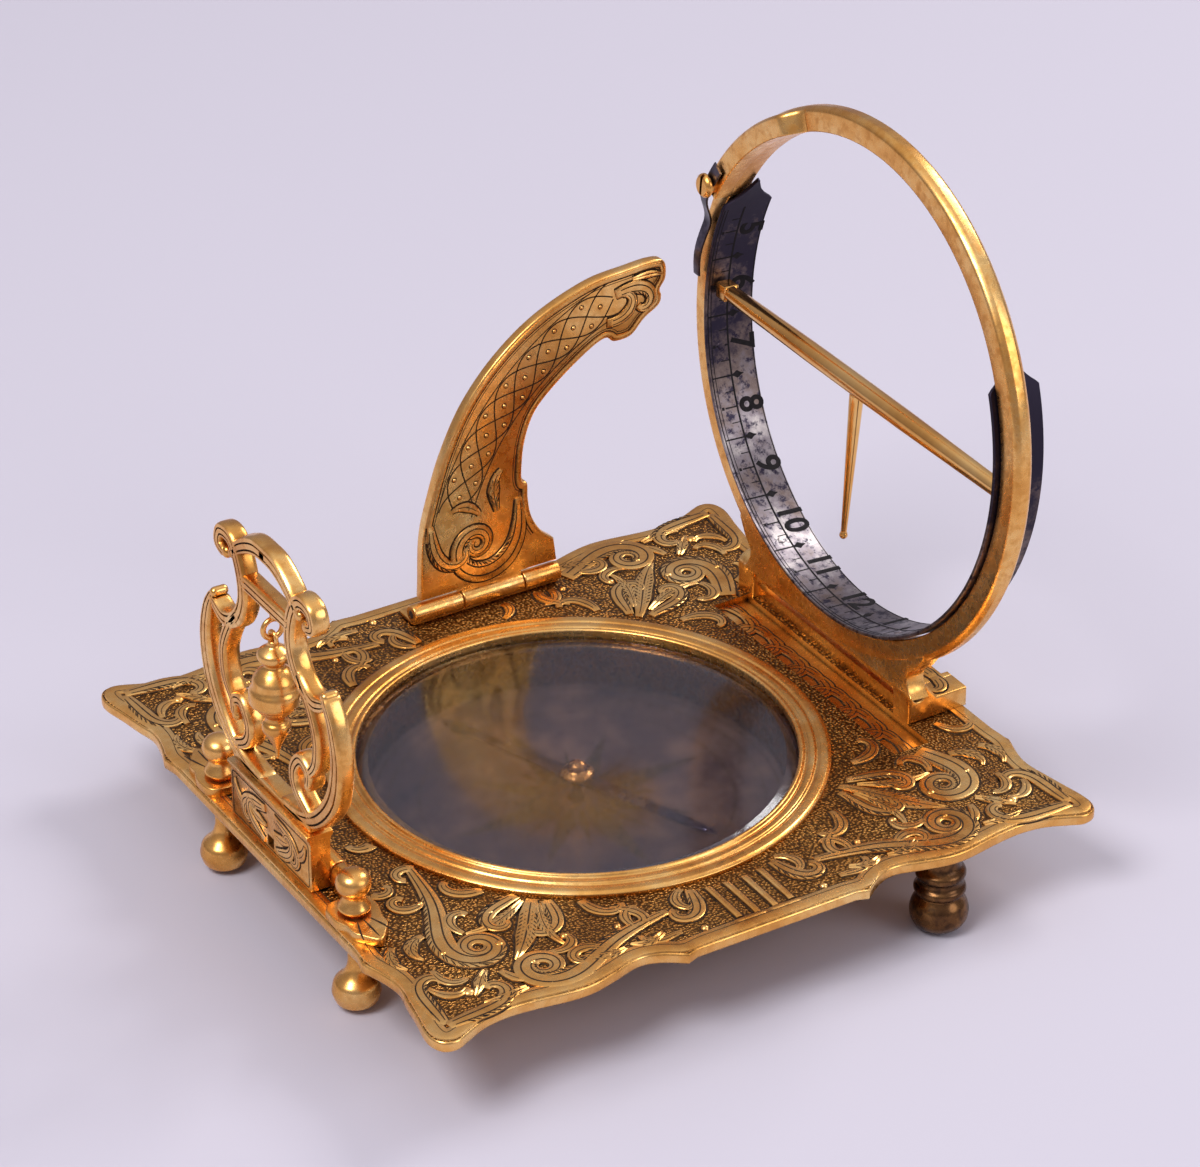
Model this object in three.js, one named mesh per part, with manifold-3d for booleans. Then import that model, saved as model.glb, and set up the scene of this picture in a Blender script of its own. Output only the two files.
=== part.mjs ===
// Equinoctial sundial with a compass, folding flat on its own base plate.
// Millimetres, +Z up, origin in the middle of the plate on the standing surface.
// +X points from the plumb bracket to the hour ring, +Y to the latitude arc.

import * as THREE from 'three';
import { mergeVertices } from 'three/addons/utils/BufferGeometryUtils.js';
import Module from 'manifold-3d';

const wasm = await Module();
wasm.setup();

// Fits
const seatGap = 0.2;
const runningGap = 0.12;
const sweepGap = 0.3;
const cutOverrun = 1;

// Base plate
const plateHalfLength = 36.7;
const plateHalfWidth = 34.7;
const plateThickness = 1.2;
const plateBevel = 0.25;
const footHeight = 8.4;
const plateTop = footHeight + plateThickness;

// Compass
const compassX = -1.3;
const glassOpeningRadius = 21.7;
const glassLedge = 0.5;
const glassThickness = 1;
const glassBevelWidth = 1.4;
const glassBevelDrop = 0.4;
const bezelWidth = 3.2;
const bezelHeight = 0.75;
const boxWall = 0.9;
const boxFlangeWidth = 3;
const boxFlangeThickness = 0.8;
const boxDepth = 6.1;
const cardThickness = 0.4;
const pivotRadius = 0.9;
const pivotHeight = 3.1;
const needleLength = 34;
const needleWidth = 2.2;
const needleThickness = 0.35;
const capRadius = 1.7;
const capHeight = 1.5;
const boxScrewRadius = 0.9;
const boxScrewHeadRadius = 1.5;
const boxScrewHeadHeight = 0.6;

// Feet and levelling screws
const rearFootX = 20.4;
const rearFootInset = 3.5;
const rearFootY = plateHalfWidth - rearFootInset;
const rearFootRadius = 2.9;
const levellingInset = 3.1;
const levellingX = levellingInset - plateHalfLength;
const levellingY = 13.4;
const levellingStemRadius = 0.8;
const levellingFootRadius = 2.4;
const levellingKnobHeight = 4.2;
const levellingKnobRadius = 1.75;
const leafLength = 4.6;
const leafWidth = 4.4;
const leafThickness = 0.9;

// Hour ring, measured from its hinge axis
const ringHingeX = 30.4;
const ringHingeRise = 3;
const ringLean = THREE.MathUtils.degToRad(3.74);
const ringCentreHeight = 28.8;
const ringOuterRadius = 27.7;
const ringInnerRadius = 25.2;
const ringBackOffset = 0.65;
const ringFrontOffset = 2.8;
const ringSeatFrontOffset = 4.6;
const ringSeatStart = THREE.MathUtils.degToRad(24);
const ringSeatEnd = THREE.MathUtils.degToRad(64);
const footHalfWidth = 14.3;
const footTopHalfWidth = 16.4;
const footClearance = 1.5;
const footShoulderHeight = 6.6;
const ringBarrelRadius = 1.05;
const ringPinRadius = 0.6;
const ringBarrelEndY = 15.2;
const ringBarrelStartY = -9.8;
const ringLugWidth = 3;
const nibLength = 0.4;
const nibWidth = 1.2;

// Hour band inside the ring
const bandThickness = 0.42;
const bandGap = 0.14;
const bandFrontOffset = 3.35;
const bandBackOffset = -2.4;
const bandHalfAngle = THREE.MathUtils.degToRad(122);
const bandEndSlope = THREE.MathUtils.degToRad(38);
const bandRivetRadius = 0.45;
const bandRivetAngles = [25, 75, -25, -75].map(THREE.MathUtils.degToRad);

// Gnomon
const axleRadius = 0.5;
const axleOffset = 1.6;
const axleBodyRadius = 1.07;
const axleBodyEndRadius = 0.88;
const axleBlockSize = 1.7;
const gnomonLength = 17;
const gnomonRadius = 0.72;
const gnomonTipRadius = 0.3;
const gnomonBeadRadius = 0.42;
const springWidth = 1.5;
const springThickness = 0.24;
const springAngle = THREE.MathUtils.degToRad(62);
const springScrewRadius = 1.3;
const springScrewHeight = 0.8;
const springScrewSlot = 0.35;

// Hinge block behind the ring
const blockFrontX = 29;
const blockBackX = 36.2;
const blockBackRise = 2.2;
const blockShoulderX = 32.6;
const recessDepth = 0.7;
const recessFrontX = 25.1;

// Latitude arc
const arcHingeY = 29.2;
const arcHingeRise = 1.25;
const arcStartX = -3.5;
const arcHeight = 33;
const arcThickness = 1.2;
const arcInset = 0.2;
const arcBarrelRadius = 1;
const arcPinRadius = 0.5;
const arcBarrelLength = 17.4;
const arcKnuckleStart = 5.9;
const arcKnuckleEnd = 13;
const arcLeafDepth = 2.7;
const arcLeafThickness = 0.5;

// Plumb bracket
const bracketFrontX = -35.2;
const bracketThickness = 2.2;
const bracketHingeX = -32.2;
const bracketHingeRise = 1.75;
const bracketBarrelRadius = 1.05;
const bracketPinRadius = 0.5;
const blockHalfLength = 8;
const bracketBlockHeight = 6.4;
const corniceOverhang = 0.35;
const corniceHeight = 0.7;
const bracketKnuckleLength = 1.9;
const socketWidth = 1.2;
const socketDepth = 1;
const frameHeight = 34.1;
const frameHalfWidth = 13.9;
const frameThickness = 1.8;
const frameWebShare = 0.815;
const frameWebWidthShare = 0.12;

// Plumb bob
const eyeRadius = 1;
const eyeWire = 0.28;
const eyeHang = 2.9915;
const bobRingRadius = 0.65;
const bobRingWire = 0.22;
const bobLength = 14.4;
const bobRadius = 2.55;

const roundSides = 24;
const hoopSides = 56;
const wideSides = 44;
const smallSides = 12;
const turnedSides = 16;

// Derived places
const boxOuterRadius = glassOpeningRadius + glassLedge + boxWall;
const glassRadius = glassOpeningRadius + glassLedge - seatGap;
const bandRadius = ringInnerRadius - bandGap;
const bandInnerRadius = bandRadius - bandThickness;
const ringHingeZ = plateTop + ringHingeRise;
const arcHingeZ = plateTop + arcHingeRise;
const bracketHingeZ = plateTop + bracketHingeRise;
const bracketMiddleX = bracketFrontX + bracketThickness / 2;
const bobPivotZ = plateTop + frameWebShare * frameHeight - eyeHang;

// Finishes seen on the object
const gilt = { color: 0xc88c3c, roughness: 0.32, metalness: 1 };
const darkGilt = { color: 0x8f6428, roughness: 0.45, metalness: 1 };
const silver = { color: 0x96908c, roughness: 0.4, metalness: 1 };
const bluedSteel = { color: 0x2f3550, roughness: 0.35, metalness: 1 };
const steel = { color: 0x8a8a8e, roughness: 0.35, metalness: 1 };
const clearGlass = { color: 0x3c3746, roughness: 0.08, metalness: 0, transparent: true, opacity: 0.55 };
const cardEnamel = { color: 0x4a4038, roughness: 0.5, metalness: 0.2 };

const instrument = new THREE.Group();

function addMesh(parent, name, geometry, finish) {
  const mesh = new THREE.Mesh(geometry, new THREE.MeshStandardMaterial(finish));
  mesh.name = name;
  parent.add(mesh);
  return mesh;
}

function toSolid(geometry) {
  const bare = geometry.clone();
  bare.deleteAttribute('normal');
  bare.deleteAttribute('uv');
  const welded = mergeVertices(bare);
  const corners = welded.index.array;
  const triangles = [];
  for (let i = 0; i < corners.length; i += 3) {
    const [a, b, c] = corners.slice(i, i + 3);
    if (a !== b && b !== c && c !== a) triangles.push(a, b, c);
  }
  return new wasm.Manifold(new wasm.Mesh({
    numProp: 3,
    vertProperties: new Float32Array(welded.attributes.position.array),
    triVerts: new Uint32Array(triangles),
  }));
}

function toGeometry(solid) {
  const { vertProperties, triVerts } = solid.getMesh();
  const geometry = new THREE.BufferGeometry();
  geometry.setAttribute('position', new THREE.BufferAttribute(new Float32Array(vertProperties), 3));
  geometry.setIndex(new THREE.BufferAttribute(new Uint32Array(triVerts), 1));
  geometry.computeVertexNormals();
  return geometry;
}

function join(...geometries) {
  return toGeometry(geometries.map(toSolid).reduce((whole, piece) => whole.add(piece)));
}

function cut(geometry, ...tools) {
  return toGeometry(tools.map(toSolid).reduce((whole, tool) => whole.subtract(tool), toSolid(geometry)));
}

// A profile of [radius, height] pairs turned about Z.
function turned(profile, sides = roundSides) {
  const points = profile.map(([radius, height]) => new THREE.Vector2(radius, height));
  return new THREE.LatheGeometry(points, sides).rotateX(Math.PI / 2);
}

function disc(radius, bottom, top, sides = roundSides) {
  return turned([[0, bottom], [radius, bottom], [radius, top], [0, top]], sides);
}

function tube(innerRadius, outerRadius, bottom, top, sides = roundSides) {
  return turned([
    [innerRadius, bottom], [outerRadius, bottom], [outerRadius, top], [innerRadius, top], [innerRadius, bottom],
  ], sides);
}

function rodAlongY(radius, start, end, sides = smallSides) {
  return disc(radius, start, end, sides).rotateX(-Math.PI / 2);
}

function rodAlongX(radius, start, end, sides = smallSides) {
  return disc(radius, start, end, sides).rotateY(Math.PI / 2);
}

function box(minX, maxX, minY, maxY, minZ, maxZ) {
  return new THREE.BoxGeometry(maxX - minX, maxY - minY, maxZ - minZ)
    .translate((minX + maxX) / 2, (minY + maxY) / 2, (minZ + maxZ) / 2);
}

// A closed outline drawn in the YZ plane and given a thickness along X.
function slabAcrossX(outline, backX, frontX, holes = []) {
  const shape = new THREE.Shape(outline.map(([y, z]) => new THREE.Vector2(y, z)));
  shape.holes = holes.map((hole) => new THREE.Path(hole.map(([y, z]) => new THREE.Vector2(y, z))));
  return new THREE.ExtrudeGeometry(shape, { depth: frontX - backX, bevelEnabled: false })
    .applyMatrix4(new THREE.Matrix4().makeBasis(
      new THREE.Vector3(0, 1, 0), new THREE.Vector3(0, 0, 1), new THREE.Vector3(1, 0, 0)))
    .translate(backX, 0, 0);
}

// A closed outline drawn in the XZ plane and given a thickness along Y.
function slabAcrossY(outline, startY, endY) {
  const shape = new THREE.Shape(outline.map(([x, z]) => new THREE.Vector2(x, z)));
  return new THREE.ExtrudeGeometry(shape, { depth: endY - startY, bevelEnabled: false })
    .rotateX(Math.PI / 2).translate(0, endY, 0);
}

function smoothRun(points, steps) {
  const curve = new THREE.SplineCurve(points.map(([x, y]) => new THREE.Vector2(x, y)));
  return curve.getPoints(steps);
}

// A flat scroll: a curved centre line with a width at each of its points.
function scroll(points, widths, steps) {
  const curve = new THREE.SplineCurve(points.map(([x, y]) => new THREE.Vector2(x, y)));
  const left = [];
  const right = [];
  for (let i = 0; i <= steps; i += 1) {
    const along = i / steps;
    const middle = curve.getPoint(along);
    const tangent = curve.getTangent(along);
    const place = along * (widths.length - 1);
    const index = Math.min(Math.floor(place), widths.length - 2);
    const half = THREE.MathUtils.lerp(widths[index], widths[index + 1], place - index) / 2;
    left.push([middle.x - tangent.y * half, middle.y + tangent.x * half]);
    right.push([middle.x + tangent.y * half, middle.y - tangent.x * half]);
  }
  return left.concat(right.reverse());
}

// Plate outline: one quarter from the straight middle of the +Y edge to that of
// the +X edge, as shares of the half length and half width, then mirrored.
const plateCurveShares = [
  [0.272, 0.99], [0.335, 0.947], [0.39, 0.934], [0.465, 0.955], [0.535, 0.972], [0.6, 0.972],
  [0.7, 0.955], [0.775, 0.948], [0.845, 0.957], [0.905, 0.983], [0.945, 1], [0.98, 0.992],
  [0.998, 0.962], [1, 0.92], [0.986, 0.85], [0.975, 0.78], [0.962, 0.712], [0.972, 0.645], [0.993, 0.575],
];
const plateStraightShares = { start: [0.24, 0.978], end: [0.984, 0.53] };
const plateCurveSteps = 44;

function plateOutline() {
  const place = ([x, y]) => [x * plateHalfLength, y * plateHalfWidth];
  const quarter = [
    new THREE.Vector2(...place(plateStraightShares.start)),
    ...smoothRun(plateCurveShares.map(place), plateCurveSteps),
    new THREE.Vector2(...place(plateStraightShares.end)),
  ];
  const mirrored = (signX, signY) => quarter.map((point) => new THREE.Vector2(point.x * signX, point.y * signY));
  return new THREE.Shape([
    ...mirrored(1, 1), ...mirrored(1, -1).reverse(), ...mirrored(-1, -1), ...mirrored(-1, 1).reverse(),
  ]);
}

function buildPlate() {
  const slab = new THREE.ExtrudeGeometry(plateOutline(), {
    depth: plateThickness - 2 * plateBevel,
    bevelThickness: plateBevel,
    bevelSize: plateBevel,
    bevelOffset: -plateBevel,
    bevelSegments: 1,
  }).translate(0, 0, footHeight + plateBevel);
  const opening = disc(glassRadius + seatGap, footHeight - cutOverrun, plateTop + cutOverrun, wideSides)
    .translate(compassX, 0, 0);
  const recess = box(recessFrontX, blockFrontX + seatGap, -footTopHalfWidth, footTopHalfWidth,
    plateTop - recessDepth, plateTop + cutOverrun);
  const screwHoles = [1, -1].map((side) => disc(levellingStemRadius + runningGap,
    footHeight - cutOverrun, plateTop + cutOverrun, smallSides).translate(levellingX, side * levellingY, 0));
  return cut(slab, opening, recess, ...screwHoles);
}

addMesh(instrument, 'base_plate', buildPlate(), gilt);

// Compass: a turned box under the plate, glass in the plate's opening, and a
// moulded bezel that holds the glass down.
const bezelProfileShares = [
  [0, 0], [1, 0], [1, 0.55], [0.93, 0.72], [0.66, 0.72], [0.6, 0.5], [0.52, 0.5],
  [0.47, 0.78], [0.3, 0.84], [0.25, 0.6], [0.18, 0.6], [0.14, 1], [0.03, 1], [0, 0.8], [0, 0],
];
addMesh(instrument, 'compass_bezel', turned(
  bezelProfileShares.map(([across, up]) => [glassOpeningRadius + across * bezelWidth, up * (bezelHeight - seatGap)]),
  wideSides).translate(compassX, 0, plateTop + seatGap), gilt);

addMesh(instrument, 'compass_glass', turned([
  [0, 0], [glassRadius, 0], [glassRadius, glassThickness - glassBevelDrop],
  [glassRadius - glassBevelWidth, glassThickness], [0, glassThickness],
], wideSides).translate(compassX, 0, plateTop - glassThickness), clearGlass);

const boxTop = footHeight - seatGap;
const boxFloor = plateTop - plateThickness - boxDepth;
const boxInnerRadius = glassOpeningRadius - glassLedge;
const boxScrewRing = boxInnerRadius + boxWall + boxFlangeWidth / 2 + glassLedge;
const boxScrewAngles = [60, 180, 300].map(THREE.MathUtils.degToRad);
const compassBox = turned([
  [0, boxFloor], [boxInnerRadius, boxFloor], [boxInnerRadius + boxWall, boxFloor + boxWall],
  [boxInnerRadius + boxWall, boxTop - boxFlangeThickness],
  [boxOuterRadius + boxFlangeWidth, boxTop - boxFlangeThickness], [boxOuterRadius + boxFlangeWidth, boxTop],
  [boxInnerRadius, boxTop], [boxInnerRadius, boxFloor + boxWall], [0, boxFloor + boxWall],
], wideSides);
const boxScrewPlaces = boxScrewAngles.map((angle) => [boxScrewRing * Math.cos(angle), boxScrewRing * Math.sin(angle)]);
const boxScrewHoles = boxScrewPlaces.map(([x, y]) => disc(boxScrewRadius + runningGap,
  boxFloor, boxTop + cutOverrun, smallSides).translate(x, y, 0));
addMesh(instrument, 'compass_box', cut(compassBox, ...boxScrewHoles).translate(compassX, 0, 0), darkGilt);
boxScrewPlaces.forEach(([x, y], index) => {
  const head = boxTop - boxFlangeThickness - seatGap;
  const screw = cut(turned([
    [0, head - boxScrewHeadHeight], [boxScrewHeadRadius * 0.8, head - boxScrewHeadHeight], [boxScrewHeadRadius, head - boxScrewHeadHeight / 2],
    [boxScrewHeadRadius, head], [boxScrewRadius, head], [boxScrewRadius, boxTop], [0, boxTop],
  ], smallSides), box(-boxScrewHeadRadius, boxScrewHeadRadius, -springScrewSlot / 2, springScrewSlot / 2,
    head - cutOverrun, head - boxScrewHeadHeight / 2)).translate(compassX + x, y, 0);
  addMesh(instrument, `box_screw_${index + 1}`, screw, gilt);
});

const cardBottom = boxFloor + boxWall + seatGap;
const cardTop = cardBottom + cardThickness;
const cardRadius = boxInnerRadius - seatGap;
addMesh(instrument, 'compass_card', tube(pivotRadius, cardRadius, cardBottom, cardTop, wideSides)
  .translate(compassX, 0, 0), cardEnamel);

const pivotBase = boxFloor + boxWall + seatGap;
const pivotTip = pivotBase + pivotHeight;
addMesh(instrument, 'compass_pivot', turned([
  [0, pivotBase], [pivotRadius - seatGap, pivotBase], [pivotRadius - seatGap, cardTop + seatGap],
  [pivotRadius / 2, cardTop + pivotRadius], [pivotRadius / 5, pivotTip], [0, pivotTip],
], smallSides).translate(compassX, 0, 0), steel);

const needleBottom = pivotTip - needleThickness;
const needleHubRadius = capRadius * 0.8;
function needleOutline() {
  const outline = new THREE.Shape();
  const half = needleLength / 2;
  const neck = needleWidth / 4;
  outline.moveTo(half, 0);
  outline.lineTo(half * 0.86, needleWidth / 2);
  outline.lineTo(half * 0.74, neck);
  outline.lineTo(needleHubRadius, needleWidth / 2);
  outline.lineTo(-needleHubRadius, needleWidth / 2);
  outline.lineTo(-half * 0.9, neck);
  outline.lineTo(-half, 0);
  outline.lineTo(-half * 0.9, -neck);
  outline.lineTo(-needleHubRadius, -needleWidth / 2);
  outline.lineTo(needleHubRadius, -needleWidth / 2);
  outline.lineTo(half * 0.74, -neck);
  outline.lineTo(half * 0.86, -needleWidth / 2);
  outline.closePath();
  return outline;
}
const needleHeading = THREE.MathUtils.degToRad(112);
const needleBlade = cut(
  new THREE.ExtrudeGeometry(needleOutline(), { depth: needleThickness, bevelEnabled: false }),
  disc(pivotRadius, -cutOverrun, needleThickness + cutOverrun, smallSides));
addMesh(instrument, 'compass_needle', needleBlade.rotateZ(needleHeading).translate(compassX, 0, needleBottom), bluedSteel);
const capBottom = needleBottom + needleThickness + seatGap / 2;
addMesh(instrument, 'needle_cap', turned([
  [0, capBottom], [capRadius, capBottom], [capRadius, capBottom + capHeight * 0.2],
  [capRadius * 0.62, capBottom + capHeight * 0.45], [capRadius * 0.5, capBottom + capHeight * 0.8],
  [capRadius * 0.2, capBottom + capHeight], [0, capBottom + capHeight],
], smallSides).translate(compassX, 0, 0), gilt);

// Feet: two turned feet at the back, two levelling screws at the front.
// Each profile runs from the foot's base, as shares of its radius and height.
const rearFootProfileShares = [
  [0, 0], [0.52, 0], [0.82, 0.05], [0.97, 0.14], [1, 0.24], [0.94, 0.34], [0.78, 0.42], [0.72, 0.46],
  [0.88, 0.5], [0.88, 0.56], [0.74, 0.6], [0.7, 0.67], [0.86, 0.71], [0.86, 0.78], [0.66, 0.83], [0.6, 0.9], [0.6, 1], [0, 1],
];
[['rear_foot_left', 1], ['rear_foot_right', -1]].forEach(([name, side]) => {
  addMesh(instrument, name, turned(rearFootProfileShares.map(([radius, height]) => [
    radius * rearFootRadius, height * (footHeight - seatGap)]), turnedSides).translate(rearFootX, side * rearFootY, 0), gilt);
});

const levellingBunHeight = levellingFootRadius * 1.7;
const levellingNeck = levellingStemRadius * 0.95;
const leafTop = plateTop + seatGap + leafThickness;
const levellingKnobBase = leafTop + seatGap;
const knobShares = [
  [0.9, 0], [0.94, 0.06], [0.8, 0.16], [0.66, 0.28], [0.62, 0.38], [0.86, 0.48],
  [0.98, 0.59], [1, 0.7], [0.92, 0.83], [0.66, 0.94], [0.3, 0.99], [0, 1],
];
const bunShares = [[0, 0], [0.5, 0], [0.85, 0.12], [1, 0.38], [0.9, 0.66], [0.55, 0.86], [0.4, 1]];
function levellingScrew(side) {
  return turned([
    ...bunShares.map(([radius, height]) => [radius * levellingFootRadius, height * levellingBunHeight]),
    [levellingNeck, levellingBunHeight + levellingStemRadius], [levellingStemRadius, footHeight - levellingStemRadius],
    [levellingStemRadius, levellingKnobBase],
    ...knobShares.map(([radius, height]) => [radius * levellingKnobRadius, levellingKnobBase + height * levellingKnobHeight]),
  ], turnedSides).translate(levellingX, side * levellingY, 0);
}
addMesh(instrument, 'levelling_screw_left', levellingScrew(1), gilt);
addMesh(instrument, 'levelling_screw_right', levellingScrew(-1), gilt);

// Leaf-shaped boss under each knob, pointing along the plate's edge.
const leafOutlineShares = [
  [0.5, -0.35], [0.5, 0.3], [0.36, 0.5], [0.46, 0.72], [0.3, 0.82], [0.24, 1.02], [0.02, 1.2],
  [-0.2, 1.02], [-0.28, 0.82], [-0.46, 0.72], [-0.36, 0.5], [-0.5, 0.3], [-0.5, -0.35], [-0.3, -0.52], [0.3, -0.52],
];
function leafBoss(side) {
  const shape = new THREE.Shape(leafOutlineShares.map(([x, y]) => new THREE.Vector2(x * leafWidth, y * leafLength)));
  const leaf = new THREE.ExtrudeGeometry(shape, {
    depth: leafThickness / 2, bevelThickness: leafThickness / 2, bevelSize: leafThickness / 2,
    bevelOffset: -leafThickness / 2, bevelSegments: 1,
  });
  const flatLeaf = cut(leaf, box(-leafWidth, leafWidth, -2 * leafLength, 2 * leafLength, -leafThickness, 0),
    disc(levellingStemRadius + runningGap, -leafThickness - cutOverrun, leafThickness + cutOverrun, smallSides));
  if (side < 0) flatLeaf.rotateZ(Math.PI);
  return flatLeaf.translate(levellingX, side * levellingY, plateTop + seatGap);
}
addMesh(instrument, 'screw_boss_left', leafBoss(1), gilt);
addMesh(instrument, 'screw_boss_right', leafBoss(-1), gilt);

// Ring hinge: a long block on the plate with a lug at each end.
const lugRadius = footClearance - seatGap;
const blockStartY = ringBarrelStartY - ringLugWidth;
const blockEndY = ringBarrelEndY + ringLugWidth;
const blockBase = plateTop + seatGap;
const blockOutline = [
  [blockFrontX + seatGap, blockBase], [blockBackX, blockBase], [blockBackX, plateTop + blockBackRise],
  [blockShoulderX, plateTop + blockBackRise], [ringHingeX + lugRadius / 2, ringHingeZ + lugRadius * 0.85],
  [ringHingeX, ringHingeZ + lugRadius], [ringHingeX - lugRadius / 2, ringHingeZ + lugRadius * 0.85],
  [ringHingeX - lugRadius, ringHingeZ], [blockFrontX + seatGap, ringHingeZ - lugRadius],
];
const ringPinBore = rodAlongY(ringPinRadius + runningGap, blockStartY - cutOverrun, blockEndY + cutOverrun)
  .translate(ringHingeX, 0, ringHingeZ);
const barrelRelief = rodAlongY(footClearance, ringBarrelStartY - seatGap, ringBarrelEndY + seatGap, roundSides)
  .translate(ringHingeX, 0, ringHingeZ);
const frontRelief = box(blockFrontX - cutOverrun, ringHingeX, ringBarrelStartY - seatGap, ringBarrelEndY + seatGap,
  ringHingeZ - footClearance, ringHingeZ + footClearance + cutOverrun);
const topRelief = box(ringHingeX - cutOverrun, blockShoulderX, ringBarrelStartY - seatGap, ringBarrelEndY + seatGap,
  plateTop + blockBackRise, ringHingeZ + footClearance + cutOverrun);
const blockNotch = box(blockBackX - plateThickness, blockBackX + cutOverrun, blockStartY + ringLugWidth,
  blockStartY + 2 * ringLugWidth, plateTop + blockBackRise / 2, plateTop + blockBackRise + cutOverrun);
addMesh(instrument, 'ring_hinge_block', cut(
  slabAcrossY(blockOutline, blockStartY, blockEndY), ringPinBore, barrelRelief, frontRelief, topRelief, blockNotch), gilt);
addMesh(instrument, 'ring_hinge_pin', rodAlongY(ringPinRadius, blockStartY, blockEndY)
  .translate(ringHingeX, 0, ringHingeZ), steel);

// Hour ring group: its own Z runs up the ring's plane, its -X is the dial's front.
const ringGroup = new THREE.Group();
ringGroup.position.set(ringHingeX, 0, ringHingeZ);
ringGroup.rotation.y = ringLean;
instrument.add(ringGroup);

const alongX = (geometry) => geometry.rotateY(Math.PI / 2);
const atRingCentre = (geometry) => geometry.translate(0, 0, ringCentreHeight);

// Part of a flat ring between two angles, counted from the top towards +Y.
function ringSector(innerRadius, outerRadius, start, end, backX, frontX, steps = 12) {
  const outer = [];
  const inner = [];
  for (let i = 0; i <= steps; i += 1) {
    const angle = start + (end - start) * i / steps;
    outer.push([outerRadius * Math.sin(angle), outerRadius * Math.cos(angle)]);
    inner.push([innerRadius * Math.sin(angle), innerRadius * Math.cos(angle)]);
  }
  return slabAcrossX(outer.concat(inner.reverse()), backX, frontX);
}

const ringChamfer = (ringOuterRadius - ringInnerRadius) / 8;
const ringHoop = atRingCentre(alongX(turned([
  [ringInnerRadius, -ringFrontOffset], [ringOuterRadius - ringChamfer, -ringFrontOffset],
  [ringOuterRadius, -ringFrontOffset + ringChamfer], [ringOuterRadius, -ringBackOffset - ringChamfer],
  [ringOuterRadius - ringChamfer, -ringBackOffset], [ringInnerRadius, -ringBackOffset], [ringInnerRadius, -ringFrontOffset],
], hoopSides)));
const springSeat = atRingCentre(ringSector(ringInnerRadius, ringOuterRadius - ringChamfer,
  ringSeatStart, ringSeatEnd, -ringSeatFrontOffset, -ringFrontOffset + ringChamfer));
const indexNib = atRingCentre(box(-ringFrontOffset + ringChamfer, -ringBackOffset - ringChamfer,
  ringOuterRadius - nibLength, ringOuterRadius + nibLength, -nibWidth / 2, nibWidth / 2));
const footSideShares = [[1, 1], [0.93, 0.68], [0.86, 0.44], [0.88, 0.16], [0.93, 0]];
const footSide = footSideShares.map(([across, up]) => [
  across * footTopHalfWidth, footClearance + up * (footShoulderHeight - footClearance)]);
const footCutRadius = (ringInnerRadius + ringOuterRadius) / 2;
const ringFoot = cut(
  slabAcrossX([...footSide, ...footSide.map(([y, z]) => [-y, z]).reverse()], -ringFrontOffset, -ringBackOffset),
  atRingCentre(alongX(disc(footCutRadius, -ringFrontOffset - cutOverrun, cutOverrun, hoopSides))));
const ringBarrel = rodAlongY(ringBarrelRadius, ringBarrelStartY, ringBarrelEndY);
const barrelWeb = box(-ringBarrelRadius, -ringBackOffset / 2, ringBarrelStartY, Math.min(footHalfWidth, ringBarrelEndY),
  0, footClearance + ringChamfer);
const axleBore = rodAlongY(axleRadius + runningGap, -ringOuterRadius - cutOverrun, ringOuterRadius + nibLength + cutOverrun)
  .translate(-axleOffset, 0, ringCentreHeight);
const bandRivetLength = ringOuterRadius - ringChamfer - bandInnerRadius;
const placeRivet = (geometry, angle) => atRingCentre(
  geometry.translate(0, 0, -bandInnerRadius - bandRivetLength).rotateX(-angle).translate(-axleOffset, 0, 0));
const rivetBores = bandRivetAngles.map((angle) => placeRivet(
  disc(bandRivetRadius + runningGap / 2, -cutOverrun, bandRivetLength + cutOverrun, 12), angle));
addMesh(ringGroup, 'hour_ring', cut(
  join(ringHoop, springSeat, indexNib, ringFoot, ringBarrel, barrelWeb),
  rodAlongY(ringPinRadius + runningGap, ringBarrelStartY - cutOverrun, ringBarrelEndY + cutOverrun),
  axleBore, ...rivetBores), gilt);

// Hour band with pointed ends, open towards the top of the ring.
const bandMiddleX = -(bandFrontOffset + bandBackOffset) / 2;
const bandWidth = bandFrontOffset - bandBackOffset;
const bandSpan = atRingCentre(ringSector(bandInnerRadius, bandRadius,
  Math.PI - bandHalfAngle, Math.PI + bandHalfAngle, -bandFrontOffset, -bandBackOffset, 40));
const bandEndTools = [1, -1].flatMap((side) => [1, -1].map((turn) => atRingCentre(
  box(-bandWidth, bandWidth, Math.min(0, -side * bandWidth), Math.max(0, -side * bandWidth), -bandWidth, bandWidth)
    .rotateZ(turn * bandEndSlope)
    .translate(bandMiddleX, 0, bandInnerRadius)
    .rotateX(-side * (Math.PI - bandHalfAngle)))));
addMesh(ringGroup, 'hour_band', cut(bandSpan, ...bandEndTools, axleBore, ...rivetBores), silver);
bandRivetAngles.forEach((angle, index) => {
  addMesh(ringGroup, `band_rivet_${index + 1}`,
    placeRivet(disc(bandRivetRadius, 0, bandRivetLength, 12), angle), silver);
});

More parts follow.
